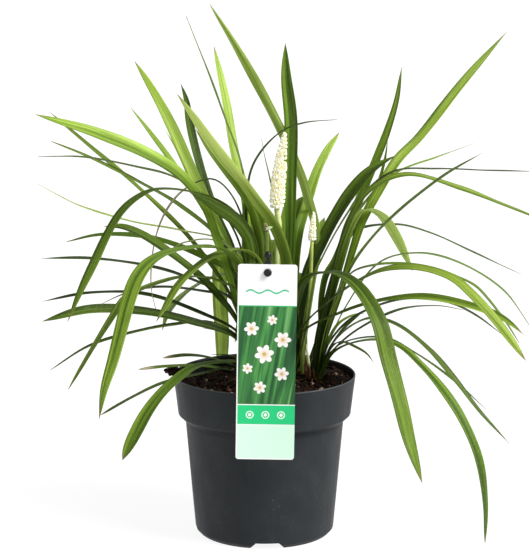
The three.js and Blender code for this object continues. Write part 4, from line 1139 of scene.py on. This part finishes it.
# The print, measured from the card's left edge and top. It shows on both faces.
CARD_MARGIN = 1.1
HEADER_FOOT = 36.3
PICTURE_FOOT = 124.5
BAND_FOOT = 142.6
LINE_WIDTH = 0.9
RINGS_FROM_LEFT = (12.0, 25.8, 39.6)
WAVE_FROM_TOP = 24.0
WAVE_MARGIN = 7.0
# Blossoms in the picture: middle from the card's left edge and top, radius and turn.
BLOSSOMS = (
    (12.5, 57.0, 6.6, 0.3),
    (30.5, 49.0, 4.6, 1.0),
    (40.0, 66.5, 7.4, 0.0),
    (24.0, 79.5, 8.6, 0.7),
    (9.5, 92.5, 4.8, 1.3),
    (39.5, 97.0, 6.4, 0.4),
    (20.5, 109.5, 5.8, 0.9),
)


def card_material():
    """A printed card: white head, green picture of round blossoms, emerald band and mint foot."""
    s = Shader("label_card", Roughness=0.3, Specular_IOR_Level=0.3)
    x, y = s.values("from_left", "from_top")

    def within(value, low, high, blur=0.12):
        return s.between(value, low - blur, low + blur) * s.between(value, high + blur, high - blur)

    def from_middle(left, top):
        dx, dy = x - left, y - top
        return dx, dy, s.math("SQRT", dx * dx + dy * dy)

    blades = s.noise(s.along(y * 0.16 + x, y * 0.05), 0.16, 3.0, 0.5, 0.6)
    picture = s.ramp(
        blades,
        (0.3, (0.006, 0.045, 0.012)),
        (0.48, (0.018, 0.12, 0.03)),
        (0.6, (0.06, 0.27, 0.055)),
        (0.78, (0.3, 0.52, 0.25)),
    )
    for left, top, radius, turn in BLOSSOMS:
        dx, dy, distance = from_middle(left, top)
        angle = s.math("ARCTAN2", dy, dx) * 3.0 + turn
        petals = abs(s.math("COSINE", angle)) * (0.42 * radius) + 0.58 * radius
        petal = s.mix(s.between(distance / radius, 0.15, 0.75), (0.8, 0.62, 0.55), (0.88, 0.86, 0.84))
        petal = s.mix(s.between(distance, 0.24 * radius, 0.16 * radius), petal, (0.55, 0.42, 0.08))
        picture = s.mix(s.between(petals - distance, -0.15, 0.35), picture, petal)

    plane = s.along(x, y)
    wash = s.noise(plane, 0.05, 2.0)
    head = s.mix(wash, (0.87, 0.865, 0.865), (0.9, 0.895, 0.895))
    mint = s.mix(wash, (0.62, 0.94, 0.73), (0.68, 0.96, 0.77))
    colour = head
    for low, high, print_colour in (
        (HEADER_FOOT, PICTURE_FOOT, picture),
        (HEADER_FOOT - 0.1, HEADER_FOOT + LINE_WIDTH, (0.03, 0.45, 0.14)),
        (PICTURE_FOOT + LINE_WIDTH, BAND_FOOT, (0.012, 0.58, 0.2)),
        (BAND_FOOT + LINE_WIDTH, CARD_HEIGHT - CARD_MARGIN, mint),
    ):
        colour = s.mix(within(y, low, high), colour, print_colour)
    # Three plain round marks in the band, and a wavy line in the head.
    for left in RINGS_FROM_LEFT:
        _, _, distance = from_middle(left, (PICTURE_FOOT + BAND_FOOT) / 2 + 0.5)
        colour = s.mix(within(distance, 2.6, 3.5), colour, (0.85, 0.93, 0.88))
        colour = s.mix(s.between(distance, 1.6, 1.3), colour, (0.85, 0.93, 0.88))
    wave = s.math("SINE", x * 0.42) * 1.4 + WAVE_FROM_TOP
    ribbon = within(y - wave, -0.8, 0.8) * within(x, WAVE_MARGIN, CARD_WIDTH - WAVE_MARGIN)
    colour = s.mix(ribbon, colour, (0.06, 0.5, 0.25))
    colour = s.mix(s.between(x, CARD_MARGIN - 0.12, CARD_MARGIN + 0.12), head, colour)
    s.feed(Base_Color=colour)
    s.bump(s.noise(plane, 3.0, 3.0), 0.00008, 0.4)
    return s.material


def card_to_part(points):
    """Places measured from the card's middle, to the right, up and backwards, in the part's frame."""
    points = np.asarray(points, float)
    lean = math.radians(CARD_LEAN)
    x = CARD_MIDDLE[0] + points[:, 0] * math.cos(lean) + points[:, 1] * math.sin(lean)
    z = CARD_MIDDLE[2] + points[:, 1] * math.cos(lean) - points[:, 0] * math.sin(lean)
    return np.column_stack([x, CARD_MIDDLE[1] + points[:, 2], z])


def rounded_outline(inset):
    """The card's outline as points, drawn in by an inset."""
    width, height, corner = CARD_WIDTH / 2 - inset, CARD_HEIGHT / 2 - inset, CARD_CORNER - inset
    points = []
    for quarter, (sx, sy) in enumerate(((1, 1), (-1, 1), (-1, -1), (1, -1))):
        middle = (sx * (width - corner), sy * (height - corner))
        points += arc(middle, corner, 90 * quarter, 90 * quarter + 90, 9)
    return points


def make_card():
    """The card, with its rounded corners, its hole and slightly eased edges."""
    made = bmesh.new()
    hole_middle = (0, CARD_HEIGHT / 2 - CARD_HOLE_BELOW_TOP)
    loops = []
    for inset, depth in (
        (CARD_EASE, 0.0),
        (0.0, -CARD_EASE),
        (0.0, CARD_EASE - CARD_THICKNESS),
        (CARD_EASE, -CARD_THICKNESS),
    ):
        outer = [made.verts.new((x, y, depth)) for x, y in rounded_outline(inset)]
        ring = arc(hole_middle, CARD_HOLE_RADIUS + inset, 0, 360, 41)[:-1]
        loops.append((outer, [made.verts.new((x, y, depth)) for x, y in ring]))
    for outer, ring in (loops[0], loops[-1]):
        edges = []
        for loop in (outer, ring):
            edges += [made.edges.new((a, b)) for a, b in zip(loop, loop[1:] + loop[:1])]
        bmesh.ops.triangle_fill(made, use_beauty=True, edges=edges)
    for upper, lower in zip(loops, loops[1:]):
        for a, b in zip(upper, lower):
            for k in range(len(a)):
                n = (k + 1) % len(a)
                made.faces.new((a[k], a[n], b[n], b[k]))
    bmesh.ops.recalc_face_normals(made, faces=made.faces)
    local, faces = arrays(made)
    values = {"from_left": local[:, 0] + CARD_WIDTH / 2, "from_top": CARD_HEIGHT / 2 - local[:, 1]}
    placed = card_to_part(local)
    card = piece("plant_label", placed, faces, card_material(), ["label_card"], values)
    split_creases(card, 25)


PEG_FOOT = (0.5, -58, 84)
PEG_TOP = (3, -88.2, 252)
PEG_SHAFT_RADIUS = 2.3
PEG_PLATE_THICKNESS = 2.4
PEG_PLATE_HALF_WIDTH = 4.4
PEG_PLATE_LOW = 240
PEG_SHOULDER = 267.8
PEG_NECK_HALF_WIDTH = 1.7
PEG_BALL_RADIUS = 3.2
PEG_BALL_HEIGHT = 274.7
KNOB_NECK_RADIUS = 2.7
KNOB_HEAD_RADIUS = 3.1
KNOB_REACH = 5.2
KNOB_RISE = 0.35
GAP = 0.3


def rounded(wave):
    """Swells a sine or cosine, so that a circle made of both becomes a rounded box."""
    return np.sign(wave) * np.abs(wave) ** 0.45


def make_peg():
    """The black peg: its tapering shaft, shouldered plate, ball and the knob that the card hangs on."""
    build = Build()
    front = CARD_MIDDLE[1] + GAP
    middle = front + PEG_PLATE_THICKNESS / 2
    shares = np.linspace(0, 1, 30)
    line = np.outer(1 - shares, PEG_FOOT) + np.outer(shares, PEG_TOP)
    build.add(*tube(line, PEG_SHAFT_RADIUS * np.minimum(1, 0.15 + 5 * shares), 24))
    # The plate and neck, as a stack of rounded sections: height and half width.
    outline = [
        (PEG_PLATE_LOW, PEG_PLATE_HALF_WIDTH - 1.6),
        (PEG_PLATE_LOW + 6, PEG_PLATE_HALF_WIDTH),
        (PEG_SHOULDER - 1.6, PEG_PLATE_HALF_WIDTH),
        (PEG_SHOULDER - 0.5, PEG_PLATE_HALF_WIDTH - 0.4),
        (PEG_SHOULDER + 0.2, PEG_PLATE_HALF_WIDTH - 1.5),
        (PEG_SHOULDER + 1.2, PEG_NECK_HALF_WIDTH + 0.5),
        (PEG_SHOULDER + 2.6, PEG_NECK_HALF_WIDTH),
        (PEG_BALL_HEIGHT, PEG_NECK_HALF_WIDTH),
    ]
    angles = np.linspace(0, 2 * math.pi, 32, endpoint=False)
    rings = []
    for height, half in outline:
        x = half * rounded(np.cos(angles))
        y = min(PEG_PLATE_THICKNESS / 2, half) * rounded(np.sin(angles))
        rings.append(np.column_stack([PEG_TOP[0] + x, middle + y, np.full(len(angles), height)]))
    build.add(np.vstack(rings), tube_faces(len(rings), len(angles)))
    vertices, faces = ball(4)
    build.add(vertices * PEG_BALL_RADIUS * [1, 0.85, 1.1] + [PEG_TOP[0], middle, PEG_BALL_HEIGHT], faces)
    profile = [
        [0, 0],
        [KNOB_NECK_RADIUS, 0],
        [KNOB_NECK_RADIUS, 2.5],
        *arc((KNOB_HEAD_RADIUS - 0.4, 3.1), 0.4, -60, 0, 4),
        *arc((KNOB_HEAD_RADIUS - 0.9, KNOB_REACH - 0.95), 0.9, 0, 80, 6),
        [KNOB_HEAD_RADIUS * 0.45, KNOB_REACH - 0.25],
        [0, KNOB_REACH - 0.35],
    ]
    vertices, faces = turned(profile, 48)
    knob = card_to_part([[0, CARD_HEIGHT / 2 - CARD_HOLE_BELOW_TOP, 0]])[0]
    vertices = np.column_stack([vertices[:, 0], -vertices[:, 2], vertices[:, 1]])
    build.add(vertices + [knob[0], front + 1, knob[2] + KNOB_RISE], faces)
    peg = build.piece("label_stake", peg_material(), "peg_plastic", ["label_peg"])
    split_creases(peg, 40)


# ---- Stage ----

# Metres, degrees and pixels.
CAMERA_PLACE = (0, -1.48, 0.481)
CAMERA_PITCH = 9.3
PHOTO_SIZE = (529, 559)
FOCAL_PIXELS = 1620
SENSOR = 36
KEY_FROM = (1.0, -0.55, 1.1)
KEY_STRENGTH = 4.3
KEY_SOFTNESS = 28
KEY_COLOUR = (1, 0.985, 0.96)
FLOOR_COLOUR = 0.16
FLOOR_GLOW = 0.9
HORIZON_STRENGTH = 1.03
CEILING_STRENGTH = 0.35
FRONT_SHARE = 0.6
FLOOR_REACH = 150


def make_world(scene):
    """A bright horizon, as of a white sweep behind the object, with a dimmer ceiling and front."""
    world = bpy.data.worlds.new("studio")
    world.use_nodes = True
    w = Nodes(world.node_tree)
    _, forward, up = w.axes(w.node("TexCoord").outputs["Generated"])
    strength = w.between(up, 0.12, 0.6, HORIZON_STRENGTH, CEILING_STRENGTH)
    background = w.tree.nodes["Background"]
    w.put(background.inputs["Strength"], strength * w.between(forward, -1, 0.1, FRONT_SHARE, 1))
    w.put(background.inputs["Color"], (1, 1, 1))
    scene.world = world


def make_stage():
    """The camera, a pale floor, the world and one soft key light."""
    scene = bpy.context.scene
    data = bpy.data.cameras.new("camera")
    data.sensor_width = SENSOR
    data.lens = FOCAL_PIXELS * SENSOR / max(PHOTO_SIZE)
    data.clip_end = 2 * FLOOR_REACH
    camera = linked("camera", data)
    camera.location = CAMERA_PLACE
    camera.rotation_euler = (math.radians(90 - CAMERA_PITCH), 0, 0)
    scene.camera = camera

    mesh = bpy.data.meshes.new("floor")
    corners = [(x * FLOOR_REACH, y * FLOOR_REACH, 0) for x, y in ((-1, -1), (1, -1), (1, 1), (-1, 1))]
    mesh.from_pydata(corners, [], [(0, 1, 2, 3)])
    # A light table: a pale floor that glows by itself, so that shadows on it stay faint.
    look = Shader("floor", Roughness=0.9, Specular_IOR_Level=0.1, Emission_Strength=FLOOR_GLOW)
    look.feed(Base_Color=(FLOOR_COLOUR,) * 3, Emission_Color=(1, 1, 1))
    mesh.materials.append(look.material)
    floor = linked("floor", mesh)

    make_world(scene)
    sun = bpy.data.lights.new("key", "SUN")
    sun.energy = KEY_STRENGTH
    sun.angle = math.radians(KEY_SOFTNESS)
    sun.color = KEY_COLOUR
    key = linked("key", sun)
    key.rotation_euler = (-Vector(KEY_FROM)).to_track_quat("-Z", "Y").to_euler()
    scene.view_settings.view_transform = "Standard"


make_stage()
make_pot()
make_peat()
make_crumbs()
make_leaves()
make_sheaths()
make_spikes()
make_card()
make_peg()
